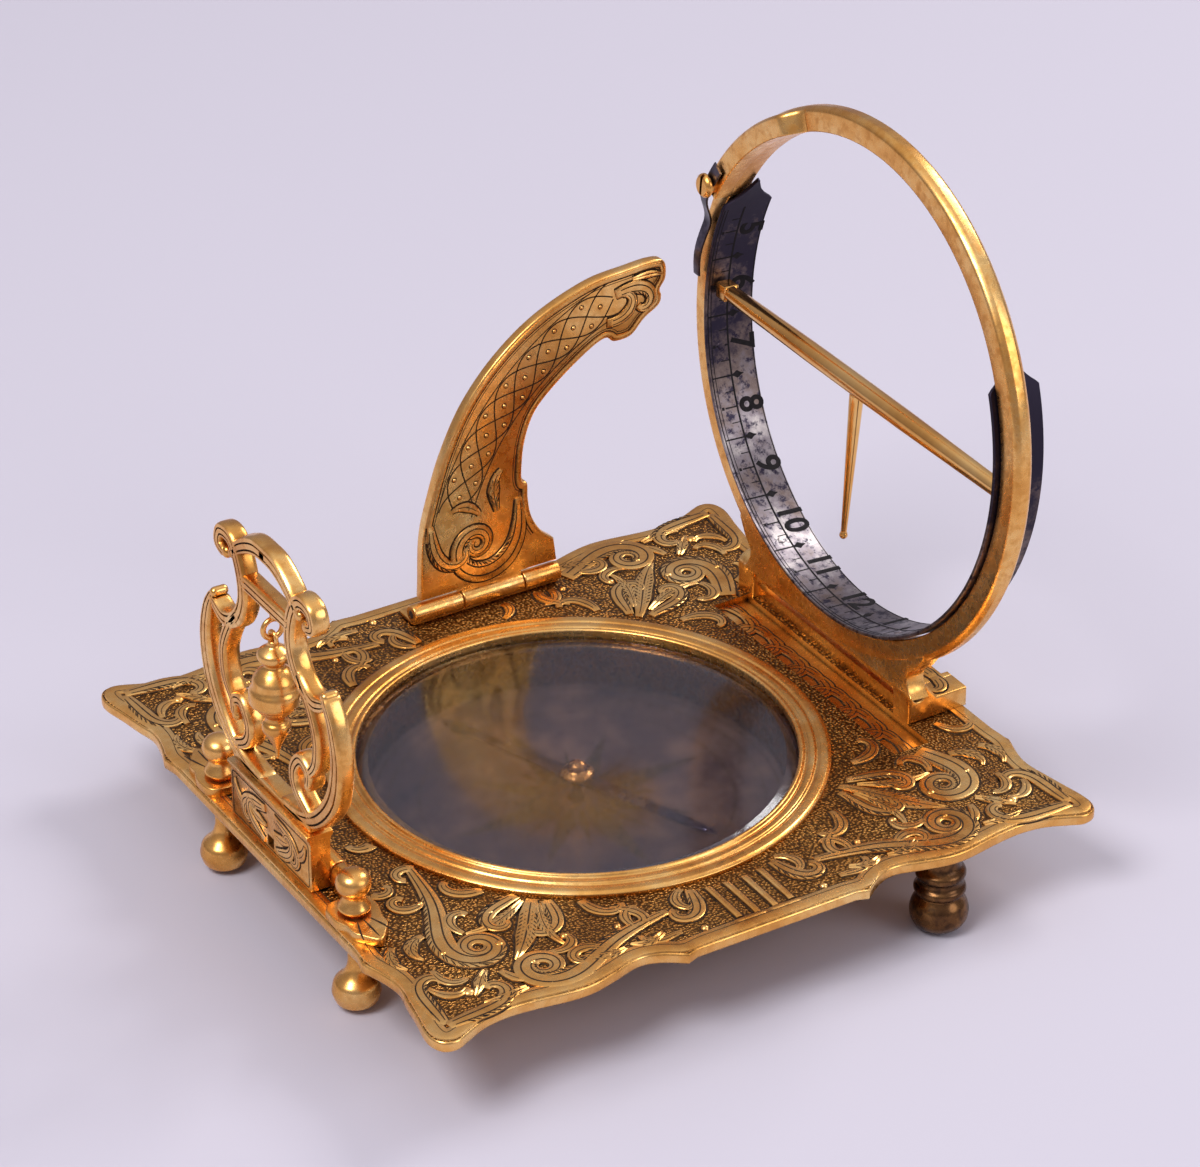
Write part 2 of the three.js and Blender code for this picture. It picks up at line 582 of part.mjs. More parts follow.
// Gnomon: an axle across the ring, thickest in its middle, with a square block
// at its +Y end, and the pin that casts the shadow, a cone ending in a bead,
// stored along the ring's plane.
const gnomonGroup = new THREE.Group();
gnomonGroup.position.set(-axleOffset, 0, ringCentreHeight);
ringGroup.add(gnomonGroup);
const axleEnd = ringOuterRadius - ringChamfer;
const blockY = bandInnerRadius - sweepGap - axleBlockSize;
const axleBodyStart = sweepGap - bandInnerRadius;
addMesh(gnomonGroup, 'gnomon_axle', join(
  rodAlongY(axleRadius, -axleEnd, axleEnd),
  box(-axleBlockSize / 2, axleBlockSize / 2, blockY, blockY + axleBlockSize, -axleBlockSize / 2, axleBlockSize / 2),
  turned([
    [0, axleBodyStart], [axleBodyEndRadius, axleBodyStart], [axleBodyRadius, (axleBodyStart + blockY) / 2],
    [axleBodyEndRadius, blockY], [0, blockY],
  ], smallSides).rotateX(-Math.PI / 2)), gilt);
const pinTop = axleBodyRadius + seatGap;
const beadMiddle = gnomonBeadRadius - gnomonLength;
addMesh(gnomonGroup, 'gnomon_pin', turned([
  [0, -gnomonLength], [gnomonBeadRadius * 0.7, beadMiddle - gnomonBeadRadius * 0.7], [gnomonBeadRadius, beadMiddle],
  [gnomonBeadRadius * 0.7, beadMiddle + gnomonBeadRadius * 0.7], [gnomonTipRadius, beadMiddle + gnomonBeadRadius],
  [gnomonRadius, -pinTop], [0, -pinTop],
], smallSides), gilt);

// Blued spring: a wavy strip from its screw down towards the axle's end.
function loft(sections) {
  const count = sections[0].length;
  const positions = sections.flat(2);
  const indices = [];
  for (let i = 0; i < sections.length - 1; i += 1) {
    for (let j = 0; j < count; j += 1) {
      const here = i * count + j;
      const next = i * count + (j + 1) % count;
      indices.push(here, next, next + count, here, next + count, here + count);
    }
  }
  const last = (sections.length - 1) * count;
  for (let j = 1; j < count - 1; j += 1) {
    indices.push(0, j + 1, j, last, last + j, last + j + 1);
  }
  const geometry = new THREE.BufferGeometry();
  geometry.setAttribute('position', new THREE.Float32BufferAttribute(positions, 3));
  geometry.setIndex(indices);
  geometry.computeVertexNormals();
  return geometry;
}
const springRadius = (ringInnerRadius + ringOuterRadius) / 2;
const springStart = springAngle - THREE.MathUtils.degToRad(6);
const springEnd = THREE.MathUtils.degToRad(88);
const springSteps = 24;
const springSections = [];
for (let i = 0; i <= springSteps; i += 1) {
  const along = i / springSteps;
  const angle = springStart + (springEnd - springStart) * along;
  const settle = THREE.MathUtils.smoothstep(along, 0.25, 0.6);
  const lift = springThickness * Math.sin(along * Math.PI * 3) * settle;
  const back = -THREE.MathUtils.lerp(ringSeatFrontOffset, ringFrontOffset + sweepGap, settle) - seatGap - lift;
  const half = springWidth / 2 * (1 - along * 0.3);
  springSections.push([[back, -half], [back - springThickness, -half], [back - springThickness, half], [back, half]]
    .map(([x, across]) => [x, (springRadius + across) * Math.sin(angle), ringCentreHeight + (springRadius + across) * Math.cos(angle)]));
}
const springScrewX = -(ringSeatFrontOffset + seatGap + springThickness + seatGap);
const atSpringScrew = (geometry) => geometry.translate(0,
  springRadius * Math.sin(springAngle), ringCentreHeight + springRadius * Math.cos(springAngle));
addMesh(ringGroup, 'gnomon_spring', loft(springSections), bluedSteel);
addMesh(ringGroup, 'spring_screw', cut(
  atSpringScrew(alongX(turned([
    [0, springScrewX - springScrewHeight], [springScrewRadius * 0.8, springScrewX - springScrewHeight],
    [springScrewRadius, springScrewX - springScrewHeight * 0.6], [springScrewRadius, springScrewX], [0, springScrewX],
  ], smallSides))),
  atSpringScrew(box(springScrewX - springScrewHeight - cutOverrun, springScrewX - springScrewHeight / 2,
    -springScrewSlot / 2, springScrewSlot / 2, -springScrewRadius, springScrewRadius))), gilt);

// Latitude arc: a pierced-looking leaf that stands on a three-knuckle hinge.
// Its outline starts at the lower outer corner, as shares of the arc's height.
const arcOutlineShares = [
  [0.037, 0.04], [0.037, 0.082], [0.045, 0.255], [0.076, 0.384], [0.124, 0.526], [0.201, 0.675], [0.3125, 0.804],
  [0.458, 0.91], [0.639, 0.98], [0.783, 0.996], [0.87, 1], [0.915, 0.985], [0.92, 0.93], [0.9, 0.895],
  [0.905, 0.87], [0.895, 0.84], [0.843, 0.807], [0.795, 0.761], [0.735, 0.756], [0.701, 0.776], [0.632, 0.744],
  [0.521, 0.664], [0.447, 0.589], [0.411, 0.495], [0.4, 0.4], [0.403, 0.359], [0.42, 0.346], [0.422, 0.293],
  [0.434, 0.226], [0.468, 0.163], [0.514, 0.121], [0.522, 0.04],
];
const arcKnuckleDrop = arcBarrelRadius + sweepGap;
const arcOutline = smoothRun(arcOutlineShares.slice(1, -1), 60).map((point) => [
  arcStartX + point.x * arcHeight, point.y * arcHeight]);
arcOutline.unshift([arcStartX + arcOutlineShares[0][0] * arcHeight, arcKnuckleDrop]);
arcOutline.push([arcStartX + arcOutlineShares.at(-1)[0] * arcHeight, arcKnuckleDrop]);
const arcGroup = new THREE.Group();
arcGroup.position.set(0, arcHingeY, arcHingeZ);
instrument.add(arcGroup);
addMesh(arcGroup, 'latitude_arc', cut(join(
  slabAcrossY(arcOutline, -arcInset, arcThickness - arcInset),
  box(arcStartX + arcKnuckleStart, arcStartX + arcKnuckleEnd, -arcInset, arcThickness - arcInset, 0, arcKnuckleDrop * 1.5),
  rodAlongX(arcBarrelRadius, arcStartX + arcKnuckleStart, arcStartX + arcKnuckleEnd)),
rodAlongX(arcPinRadius + runningGap, arcStartX - cutOverrun, arcStartX + arcBarrelLength + cutOverrun)), gilt);

const arcLeafBottom = plateTop + seatGap / 2 - arcHingeZ;
const arcKnuckleGap = runningGap;
addMesh(arcGroup, 'arc_hinge_leaf', cut(join(
  box(arcStartX, arcStartX + arcBarrelLength, -arcBarrelRadius * 0.5, arcLeafDepth, arcLeafBottom, arcLeafBottom + arcLeafThickness),
  rodAlongX(arcBarrelRadius, arcStartX, arcStartX + arcKnuckleStart - arcKnuckleGap),
  rodAlongX(arcBarrelRadius, arcStartX + arcKnuckleEnd + arcKnuckleGap, arcStartX + arcBarrelLength)),
rodAlongX(arcPinRadius + runningGap, arcStartX - cutOverrun, arcStartX + arcBarrelLength + cutOverrun),
rodAlongX(arcKnuckleDrop - runningGap, arcStartX + arcKnuckleStart - arcKnuckleGap, arcStartX + arcKnuckleEnd + arcKnuckleGap)), gilt);
addMesh(arcGroup, 'arc_hinge_pin', rodAlongX(arcPinRadius, arcStartX, arcStartX + arcBarrelLength), steel);

// Plumb bracket: an engraved block with a lyre-shaped frame, hinged on two lugs.
const bracketGroup = new THREE.Group();
bracketGroup.position.set(bracketHingeX, 0, bracketHingeZ);
instrument.add(bracketGroup);
const blockBottom = seatGap - bracketHingeRise;
const blockTop = blockBottom + bracketBlockHeight;
const blockFront = bracketFrontX - bracketHingeX;
const blockBack = blockFront + bracketThickness;
addMesh(bracketGroup, 'plummet_block', cut(join(
  box(blockFront, blockBack, -blockHalfLength, blockHalfLength, blockBottom, blockTop),
  box(blockFront - corniceOverhang, blockBack + corniceOverhang, -blockHalfLength, blockHalfLength,
    blockTop - corniceHeight, blockTop),
  box(blockFront, blockBack + corniceOverhang, -blockHalfLength, blockHalfLength,
    -bracketBarrelRadius / 2, bracketBarrelRadius / 2),
  rodAlongY(bracketBarrelRadius, -blockHalfLength, blockHalfLength)),
rodAlongY(bracketPinRadius + runningGap, -blockHalfLength - cutOverrun, blockHalfLength + cutOverrun),
box(blockFront - cutOverrun, blockFront + socketDepth, -socketWidth / 2, socketWidth / 2,
  blockBottom + socketWidth / 2, blockBottom + socketWidth * 1.5)), gilt);

// Frame scrolls for the +Y half: centre lines as shares of the frame's half
// width and height, and widths as shares of its half width.
const frameScrollShares = [
  { line: [[0.1, 0.2], [0.42, 0.215], [0.66, 0.27], [0.86, 0.375], [0.93, 0.5], [0.88, 0.61], [0.78, 0.685]],
    widths: [0.1, 0.12, 0.15, 0.17, 0.14, 0.11, 0.07] },
  { line: [[0.8, 0.66], [0.62, 0.635], [0.43, 0.675], [0.33, 0.755], [0.36, 0.845], [0.47, 0.915], [0.62, 0.915], [0.66, 0.87], [0.56, 0.852]],
    widths: [0.09, 0.13, 0.14, 0.13, 0.13, 0.12, 0.11, 0.1, 0.08] },
  { line: [[-0.08, 0.965], [0.14, 0.96], [0.34, 0.92], [0.47, 0.87]], widths: [0.13, 0.14, 0.12, 0.08] },
  { line: [[0.4, 0.7], [0.56, 0.62], [0.66, 0.53], [0.64, 0.44], [0.52, 0.375]], widths: [0.1, 0.1, 0.1, 0.1, 0.07] },
  { line: [[0.56, 0.24], [0.36, 0.29], [0.32, 0.35], [0.42, 0.405], [0.53, 0.385], [0.52, 0.335]],
    widths: [0.1, 0.11, 0.11, 0.11, 0.1, 0.07] },
  { line: [[-0.05, frameWebShare], [0.2, frameWebShare], [0.36, frameWebShare]],
    widths: [frameWebWidthShare, frameWebWidthShare] },
];
const frameBase = blockTop + seatGap;
const frameOutlineBase = plateTop - bracketHingeZ;
const frameFront = (blockFront + blockBack - frameThickness) / 2;
function frameScroll(shares, side) {
  const outline = scroll(
    shares.line.map(([y, z]) => [y * frameHalfWidth, frameOutlineBase + z * frameHeight]),
    shares.widths.map((width) => width * frameHalfWidth), Math.ceil(2.2 * shares.line.length));
  return slabAcrossX(outline.map(([y, z]) => [side * y, z]), frameFront, frameFront + frameThickness);
}
const frameTie = box(frameFront, frameFront + frameThickness, -blockHalfLength + corniceOverhang, blockHalfLength - corniceOverhang,
  frameBase, frameBase + corniceHeight);
addMesh(bracketGroup, 'plummet_frame', cut(
  join(...frameScrollShares.flatMap((shares) => [frameScroll(shares, 1), frameScroll(shares, -1)]), frameTie),
  box(blockFront - cutOverrun, blockBack + cutOverrun, -frameHalfWidth, frameHalfWidth, blockBottom, frameBase)), gilt);

const lugTop = bracketBarrelRadius;
const lugBottom = plateTop + seatGap / 2 - bracketHingeZ;
const lugBars = [1, -1].flatMap((side) => {
  const inner = side * (blockHalfLength + seatGap);
  const outer = side * (blockHalfLength + seatGap + bracketKnuckleLength);
  const start = Math.min(inner, outer);
  const end = Math.max(inner, outer);
  return [rodAlongY(lugTop, start, end), box(-bracketBarrelRadius, bracketBarrelRadius, start, end, lugBottom, 0)];
});
const hingeStrip = box(-bracketBarrelRadius, bracketBarrelRadius * 2, -blockHalfLength - seatGap - bracketKnuckleLength,
  blockHalfLength + seatGap + bracketKnuckleLength, lugBottom, lugBottom + arcLeafThickness / 2);
const hingeStripRelief = box(-2 * bracketBarrelRadius, bracketBarrelRadius * 3, -blockHalfLength - seatGap, blockHalfLength + seatGap,
  lugBottom + arcLeafThickness / 2, lugTop + cutOverrun);
const blockFootRelief = box(-2 * bracketBarrelRadius, blockBack + seatGap, -blockHalfLength - seatGap, blockHalfLength + seatGap,
  lugBottom - cutOverrun, lugTop + cutOverrun);
addMesh(bracketGroup, 'plummet_hinge', cut(join(hingeStrip, ...lugBars), hingeStripRelief, blockFootRelief,
  rodAlongY(bracketPinRadius + runningGap, -blockHalfLength * 2, blockHalfLength * 2)), gilt);
const pinReach = blockHalfLength + seatGap + bracketKnuckleLength;
addMesh(bracketGroup, 'plummet_hinge_pin', rodAlongY(bracketPinRadius, -pinReach, pinReach), steel);

// Eye under the frame's web, with the bob's own ring through it.
function wireRing(radius, wire, sides, steps) {
  return new THREE.TorusGeometry(radius, wire, sides, steps);
}
const hookTop = frameOutlineBase + frameWebShare * frameHeight - frameWebWidthShare * frameHalfWidth / 2 - seatGap;
const pivotHeightInGroup = bobPivotZ - bracketHingeZ;
const eyeMiddleX = bracketMiddleX - bracketHingeX;
addMesh(bracketGroup, 'plummet_eye', join(
  wireRing(eyeRadius, eyeWire, 8, 16).rotateX(Math.PI / 2).translate(0, 0, pivotHeightInGroup),
  disc(eyeWire * 0.8, pivotHeightInGroup + eyeRadius + eyeWire / 3, hookTop, 8)).translate(eyeMiddleX, 0, 0), gilt);

const bobProfile = [
  [0, 1], [0.04, 0.985], [0.13, 0.9], [0.33, 0.83], [0.56, 0.76], [0.55, 0.715], [0.4, 0.69], [0.42, 0.65],
  [0.68, 0.61], [0.83, 0.57], [1, 0.545], [1, 0.46], [0.86, 0.42], [0.84, 0.37], [0.6, 0.315], [0.36, 0.285],
  [0.35, 0.255], [0.62, 0.225], [0.64, 0.175], [0.42, 0.145], [0.22, 0.125], [0.2, 0.09], [0, 0.085],
].map(([radiusShare, dropShare]) => [radiusShare * bobRadius, -dropShare * bobLength]);
const bobRingCentre = -(eyeRadius - eyeWire - seatGap / 2 - bobRingWire + bobRingRadius);
addMesh(instrument, 'plumb_bob', join(
  turned(bobProfile, turnedSides),
  wireRing(bobRingRadius, bobRingWire, 8, 16).rotateY(Math.PI / 2).translate(0, 0, bobRingCentre))
  .translate(bracketMiddleX, 0, bobPivotZ), gilt);

export default instrument;
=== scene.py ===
import bmesh
import bpy
import mathutils
import numpy as np
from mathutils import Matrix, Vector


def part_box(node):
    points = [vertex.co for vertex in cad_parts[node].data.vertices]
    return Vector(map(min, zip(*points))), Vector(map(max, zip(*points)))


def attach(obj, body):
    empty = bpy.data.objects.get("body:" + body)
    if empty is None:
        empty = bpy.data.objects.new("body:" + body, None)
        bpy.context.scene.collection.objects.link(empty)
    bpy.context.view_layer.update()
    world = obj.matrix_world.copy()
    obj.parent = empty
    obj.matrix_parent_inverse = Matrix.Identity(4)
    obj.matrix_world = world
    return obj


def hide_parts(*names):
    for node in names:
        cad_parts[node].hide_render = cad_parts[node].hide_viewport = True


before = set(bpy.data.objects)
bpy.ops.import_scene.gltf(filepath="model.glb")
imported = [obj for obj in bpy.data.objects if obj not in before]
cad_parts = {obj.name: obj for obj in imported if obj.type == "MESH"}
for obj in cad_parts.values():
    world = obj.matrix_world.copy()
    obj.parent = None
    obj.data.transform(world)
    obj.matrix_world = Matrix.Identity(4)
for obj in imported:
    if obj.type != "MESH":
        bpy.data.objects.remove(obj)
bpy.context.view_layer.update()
mm = 0.001
pi = np.pi


def toLinear(hexColour):  # "#rrggbb" in sRGB to linear RGBA
    part = np.array([int(hexColour[i:i + 2], 16) / 255 for i in (1, 3, 5)])
    linear = np.where(part <= 0.04045, part / 12.92, ((part + 0.055) / 1.055) ** 2.4)
    return (*linear.tolist(), 1.0)


# One node, its settings and what feeds it; stops are a colour ramp's (place, "#rrggbb" or grey value).
def addNode(tree, kind, inputs=None, stops=(), **settings):
    node = tree.nodes.new(kind)
    for k, (position, colour) in enumerate(stops):
        element = node.color_ramp.elements[k] if k < 2 else node.color_ramp.elements.new(position)
        element.position = position
        element.color = toLinear(colour) if isinstance(colour, str) else (colour, colour, colour, 1)
    for name, value in settings.items():
        setattr(node, name, value)
    for key, value in (inputs or {}).items():
        if isinstance(value, bpy.types.NodeSocket):
            tree.links.new(value, node.inputs[key])
        else:
            node.inputs[key].default_value = value
    return node


def newMaterial(name):
    material = bpy.data.materials.new(name)
    material.use_nodes = True
    tree = material.node_tree
    tree.nodes.clear()
    shader = addNode(tree, "ShaderNodeBsdfPrincipled")
    addNode(tree, "ShaderNodeOutputMaterial", {"Surface": shader.outputs[0]})
    return material, tree, shader


def finishMetal(tree, shader, colour, roughness, bump):  # a metal keeps the shader's own IOR
    for socket, value in (("Base Color", colour), ("Roughness", roughness), ("Normal", bump)):
        tree.links.new(value, shader.inputs[socket])
    shader.inputs["Metallic"].default_value = 1.0


# grids are (points[nu, nv, 3] in mm, closed along u, closed along v), and a face joins each point with its next
# along u, its next along v and the one across.
def makePiece(name, grids, material, body, replaces=(), sharpAngle=38):
    points, quads, offset = [], [], 0
    for grid, wrapU, wrapV in grids:
        nu, nv = grid.shape[:2]
        index = np.arange(nu * nv).reshape(nu, nv) + offset
        if wrapU:
            index = np.vstack([index, index[:1]])
        if wrapV:
            index = np.hstack([index, index[:, :1]])
        corners = [index[:-1, :-1], index[1:, :-1], index[1:, 1:], index[:-1, 1:]]
        quads.append(np.stack(corners, -1).reshape(-1, 4))
        points.append(grid.reshape(-1, 3))
        offset += nu * nv
    mesh = bpy.data.meshes.new(name)
    mesh.from_pydata((np.concatenate(points) * mm).tolist(), [], np.concatenate(quads).tolist())
    return dressPiece(name, mesh, material, body, replaces, sharpAngle)


# The mesh is closed at its seams and poles, turned outwards and put on its body, with its finish.
def dressPiece(name, mesh, material, body, replaces=(), sharpAngle=38):
    shape = bmesh.new()
    shape.from_mesh(mesh)
    bmesh.ops.remove_doubles(shape, verts=shape.verts, dist=2e-6)
    bmesh.ops.dissolve_degenerate(shape, dist=1e-6, edges=shape.edges)
    bmesh.ops.recalc_face_normals(shape, faces=shape.faces)
    shape.to_mesh(mesh)
    shape.free()
    mesh.shade_smooth()
    mesh.set_sharp_from_angle(angle=np.radians(sharpAngle))
    piece = bpy.data.objects.new(name, mesh)
    bpy.context.scene.collection.objects.link(piece)
    mesh.materials.append(material)
    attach(piece, body)
    if replaces:
        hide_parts(*replaces)
    return piece


def spline(points, count):  # a Catmull-Rom curve through the points, with count samples
    points = np.asarray(points, float)
    padded = np.vstack([2 * points[0] - points[1], points, 2 * points[-1] - points[-2]])
    t = np.linspace(0, len(points) - 1, count)
    k = np.minimum(t.astype(int), len(points) - 2)
    f = (t - k)[:, None]
    a, b, c, d = (padded[k + i] for i in range(4))
    return 0.5 * (2 * b + (c - a) * f + (2 * a - 5 * b + 4 * c - d) * f ** 2 + (3 * b - 3 * c + d - a) * f ** 3)


# A plane curve: its curvature per mm runs through the given values, its heading is the integral of that,
# and its place is the integral of the heading's cosine and sine.
def bend(start, heading, length, curvatures, count=40):
    curvature = widthAlong(curvatures, count)
    step = length / (count - 1)
    swing = np.concatenate([[0], np.cumsum((curvature[1:] + curvature[:-1]) / 2 * step)])
    angle = np.radians(heading) + swing
    move = np.stack([np.cos(angle), np.sin(angle)], 1) * step
    return np.asarray(start, float) + np.vstack([[0, 0], np.cumsum((move[1:] + move[:-1]) / 2, 0)])


def widthAlong(values, count):  # the values spread evenly over a line and read off at count samples
    return np.interp(np.linspace(0, 1, count), np.linspace(0, 1, len(values)), values)


def quarterTurn(tangent):  # unit normals, a quarter turn to the left of each tangent
    tangent = tangent / np.maximum(np.linalg.norm(tangent, axis=1, keepdims=True), 1e-12)
    return np.stack([-tangent[:, 1], tangent[:, 0]], 1)


def normals2d(line):  # normals of an open line, from the difference of each point's neighbours
    return quarterTurn(np.gradient(line, axis=0))


def loopNormals(loop, reach=1):  # the same on a closed line, from the neighbours at the given reach
    return quarterTurn(np.roll(loop, -reach, 0) - np.roll(loop, reach, 0))


def loopArea(loop):  # half the sum of the cross products of neighbours, above 0 where it runs to the left
    return np.sum(loop[:, 0] * np.roll(loop[:, 1], -1) - np.roll(loop[:, 0], -1) * loop[:, 1]) / 2


# Cross sections of a chased stroke run from -1 to 1 across and give the height as a share.
# cutShares say where along the section the graver's lines lie.
sections = {
    "scroll": np.array([[-1, 0], [-0.94, 0.74], [-0.8, 0.98], [-0.5, 0.9], [-0.1, 1.1], [0.34, 0.92], [0.8, 0.98],
                        [0.94, 0.74], [1, 0]]),
    "leaf": np.array([[-1, 0], [-0.9, 0.7], [-0.46, 1.1], [0, 0.7], [0.46, 1.1], [0.9, 0.7], [1, 0]]),
    "plain": np.array([[-1, 0], [-0.92, 0.74], [-0.74, 0.97], [0, 1.05], [0.74, 0.97], [0.92, 0.74], [1, 0]]),
}
cutShares = {"scroll": (-0.5, 0.34), "leaf": (0.0,), "plain": ()}


def capEnds(grid):  # closes both ends of an open run of closed sections
    first, last = (end.mean(1, keepdims=True) + 0 * end for end in (grid[:1], grid[-1:]))
    return np.concatenate([first, grid, last])


# Height along a stroke: it rises over its first samples, falls over its last, and is less where the stroke is thin.
def strokeHeight(width, height):
    count = len(width)
    ease = np.clip(np.minimum(np.arange(count) + 1, count - np.arange(count)) / 4, 0, 1)
    return height * np.sqrt(1 - (1 - ease) ** 2) * np.clip(width / 0.5, 0.35, 1)


# A raised stroke: the section is carried along a plane line, scaled across by the width and up by the height,
# and its two feet of height 0 lie a little under the surface.
def strokeGrid(line, side, width, height, kind, place, sink):
    across, up = sections[kind].T
    flat = line[:, None] + (across * (width / 2)[:, None])[..., None] * side[:, None]
    return place(flat[..., 0], flat[..., 1], up * height[:, None] - sink * (up == 0))


def reliefGrid(line, width, height, kind, place, sink=0.06):
    width = widthAlong(np.atleast_1d(width), len(line))
    grid = strokeGrid(line, normals2d(line), width, strokeHeight(width, height), kind, place, sink)
    return capEnds(grid), False, True


def closedRelief(loop, width, height, kind, place, sink=0.06):  # the same along a closed line, even all round
    same = np.ones(len(loop))
    return strokeGrid(loop, loopNormals(loop), width * same, height * same, kind, place, sink), True, True


# A dark line, black wax or painted shade by its finish: a thin strip along a plane line, moved aside by a distance
# along the line's normals, its upper face at the given lift and its lower face under it.
def cutLine(line, width, place, lift=0.012, aside=0.0, depth=0.05):
    side = normals2d(line)
    half = widthAlong(np.atleast_1d(width), len(line))[:, None] / 2 * side
    middle = line + side * np.broadcast_to(aside, len(line))[:, None]
    rail = np.stack([middle + half, middle + half, middle - half, middle - half], 1)
    height = np.broadcast_to(lift, len(line))[:, None] - depth * np.array([1, 0, 0, 1])
    return capEnds(place(rail[..., 0], rail[..., 1], height)), False, True


# Short slanting cuts along the outer side of a stroke, between two shares of its half width.
def hatching(line, width, place, lift, inner=-0.62, outer=-0.97, first=0.2, last=0.72, pitch=0.5):
    side = normals2d(line) * (width / 2)[:, None]
    length = np.linalg.norm(np.diff(line, axis=0), axis=1).sum()
    rows = (np.linspace(first, last, int(length * (last - first) / pitch)) * (len(line) - 4)).astype(int)
    ends = zip(line[rows] + side[rows] * inner, line[rows + 2] + side[rows + 2] * outer)
    return [cutLine(np.linspace(a, b, 4), (0.05, 0.13, 0.13, 0.04), place, lift) for a, b in ends]


def longestRun(kept):  # the slice of the longest run of kept points
    edges = np.diff(np.concatenate([[0], kept.astype(int), [0]]))
    starts, stops = np.flatnonzero(edges == 1), np.flatnonzero(edges == -1)
    return slice(0, 0) if len(starts) == 0 else slice(*max(zip(starts, stops), key=lambda run: run[1] - run[0]))


# Sizes in mm of the dark outline at a stroke's foot, which is painted shade, and of the graver's work: the lines along
# it and the hatching.
chasing = {"footLift": 0.03, "lineLift": 0.014, "lineShare": 0.09, "lineMin": 0.07, "lineMax": 0.17,
           "hatchLift": 0.012, "hatchScroll": 1.45, "hatchLeaf": 1.25, "samplesPerMm": 3.4, "shortest": 10}


# Scrolls are (start, heading in degrees, length, curvatures per mm, widths in mm, kind), each repeated with the
# It returns the raised strokes, and the cuts: an outline of painted shade at each stroke's foot, and the lines along
# it.
def chase(scrolls, signs, place, height, outline=0.34, keep=None):
    raised, cuts = [], []
    for number, (start, heading, length, curvatures, widths, kind) in enumerate(scrolls):
        line = bend(start, heading, length, curvatures, max(12, int(length * chasing["samplesPerMm"])))
        fullWidth = widthAlong(widths, len(line))
        own = height * (1 + 0.14 * (number % 3))  # strokes that cross lie at different heights
        hatchLift = own * 0.98 + chasing["hatchLift"]
        for sign in signs:
            mirrored, width = line * sign, fullWidth
            if keep is not None:  # only the longest run of points on free ground stays
                part = longestRun(keep(mirrored))
                mirrored, width = mirrored[part], width[part]
                if len(mirrored) < chasing["shortest"]:
                    continue
            raised.append(reliefGrid(mirrored, width, own, kind, place))
            # painted shade: a dark strip round the stroke's foot
            cuts.append(cutLine(mirrored, width + outline, place, chasing["footLift"]))
            inner, innerWidth = mirrored[2:-2], width[2:-2]
            fine = np.clip(innerWidth * chasing["lineShare"], chasing["lineMin"], chasing["lineMax"])
            for share in cutShares[kind]:
                top = strokeHeight(width, own) * np.interp(share, *sections[kind].T) + chasing["lineLift"]
                cuts.append(cutLine(inner, fine, place, top[2:-2], innerWidth / 2 * share))
            if width.max() > chasing["hatchScroll"] and kind == "scroll":
                cuts += hatching(mirrored, width, place, hatchLift)
            if width.max() > chasing["hatchLeaf"] and kind == "leaf":
                for side in (1, -1):
                    cuts += hatching(mirrored, width, place, hatchLift, side * 0.28, side * 0.8, 0.25, 0.8, 0.55)
    return raised, cuts


# A profile of (radius, height) turned about Z: x = radius cos angle, y = radius sin angle, z = height.
def revolve(profile, sides):
    radius, height = np.asarray(profile, float).T
    angle = np.arange(sides)[:, None] * 2 * pi / sides
    return np.stack([np.cos(angle) * radius, np.sin(angle) * radius, height + 0 * angle], -1)


def moved(grid, offset):  # each point plus the offset
    return grid + np.asarray(offset, float)


def turned(profile, sides, place=(0, 0, 0)):  # a turned piece whose profile starts and ends on the axis
    return moved(revolve(profile, sides), place), True, False


zToY = lambda grid: grid[..., [0, 2, 1]]  # what stands along Z then lies along Y, or along X
zToX = lambda grid: grid[..., [2, 1, 0]]


# Each corner of a profile becomes a quadratic curve from a point before it to a point after it.
def roundedProfile(profile, closed=False, steps=4, radius=0.12):
    profile = np.asarray(profile, float)
    out = []
    last = len(profile) - 1
    t = np.linspace(0, 1, steps)[:, None]
    for i, corner in enumerate(profile):
        before, after = profile[i - 1] - corner, profile[(i + 1) % len(profile)] - corner
        lengthBefore, lengthAfter = np.linalg.norm(before), np.linalg.norm(after)
        if (not closed and i in (0, last)) or min(lengthBefore, lengthAfter) < 1e-6:
            out.append(corner[None])
            continue
        start = corner + before / lengthBefore * min(radius, lengthBefore / 2.2)
        end = corner + after / lengthAfter * min(radius, lengthAfter / 2.2)
        out.append((1 - t) ** 2 * start + 2 * t * (1 - t) * corner + t ** 2 * end)
    return np.concatenate(out)


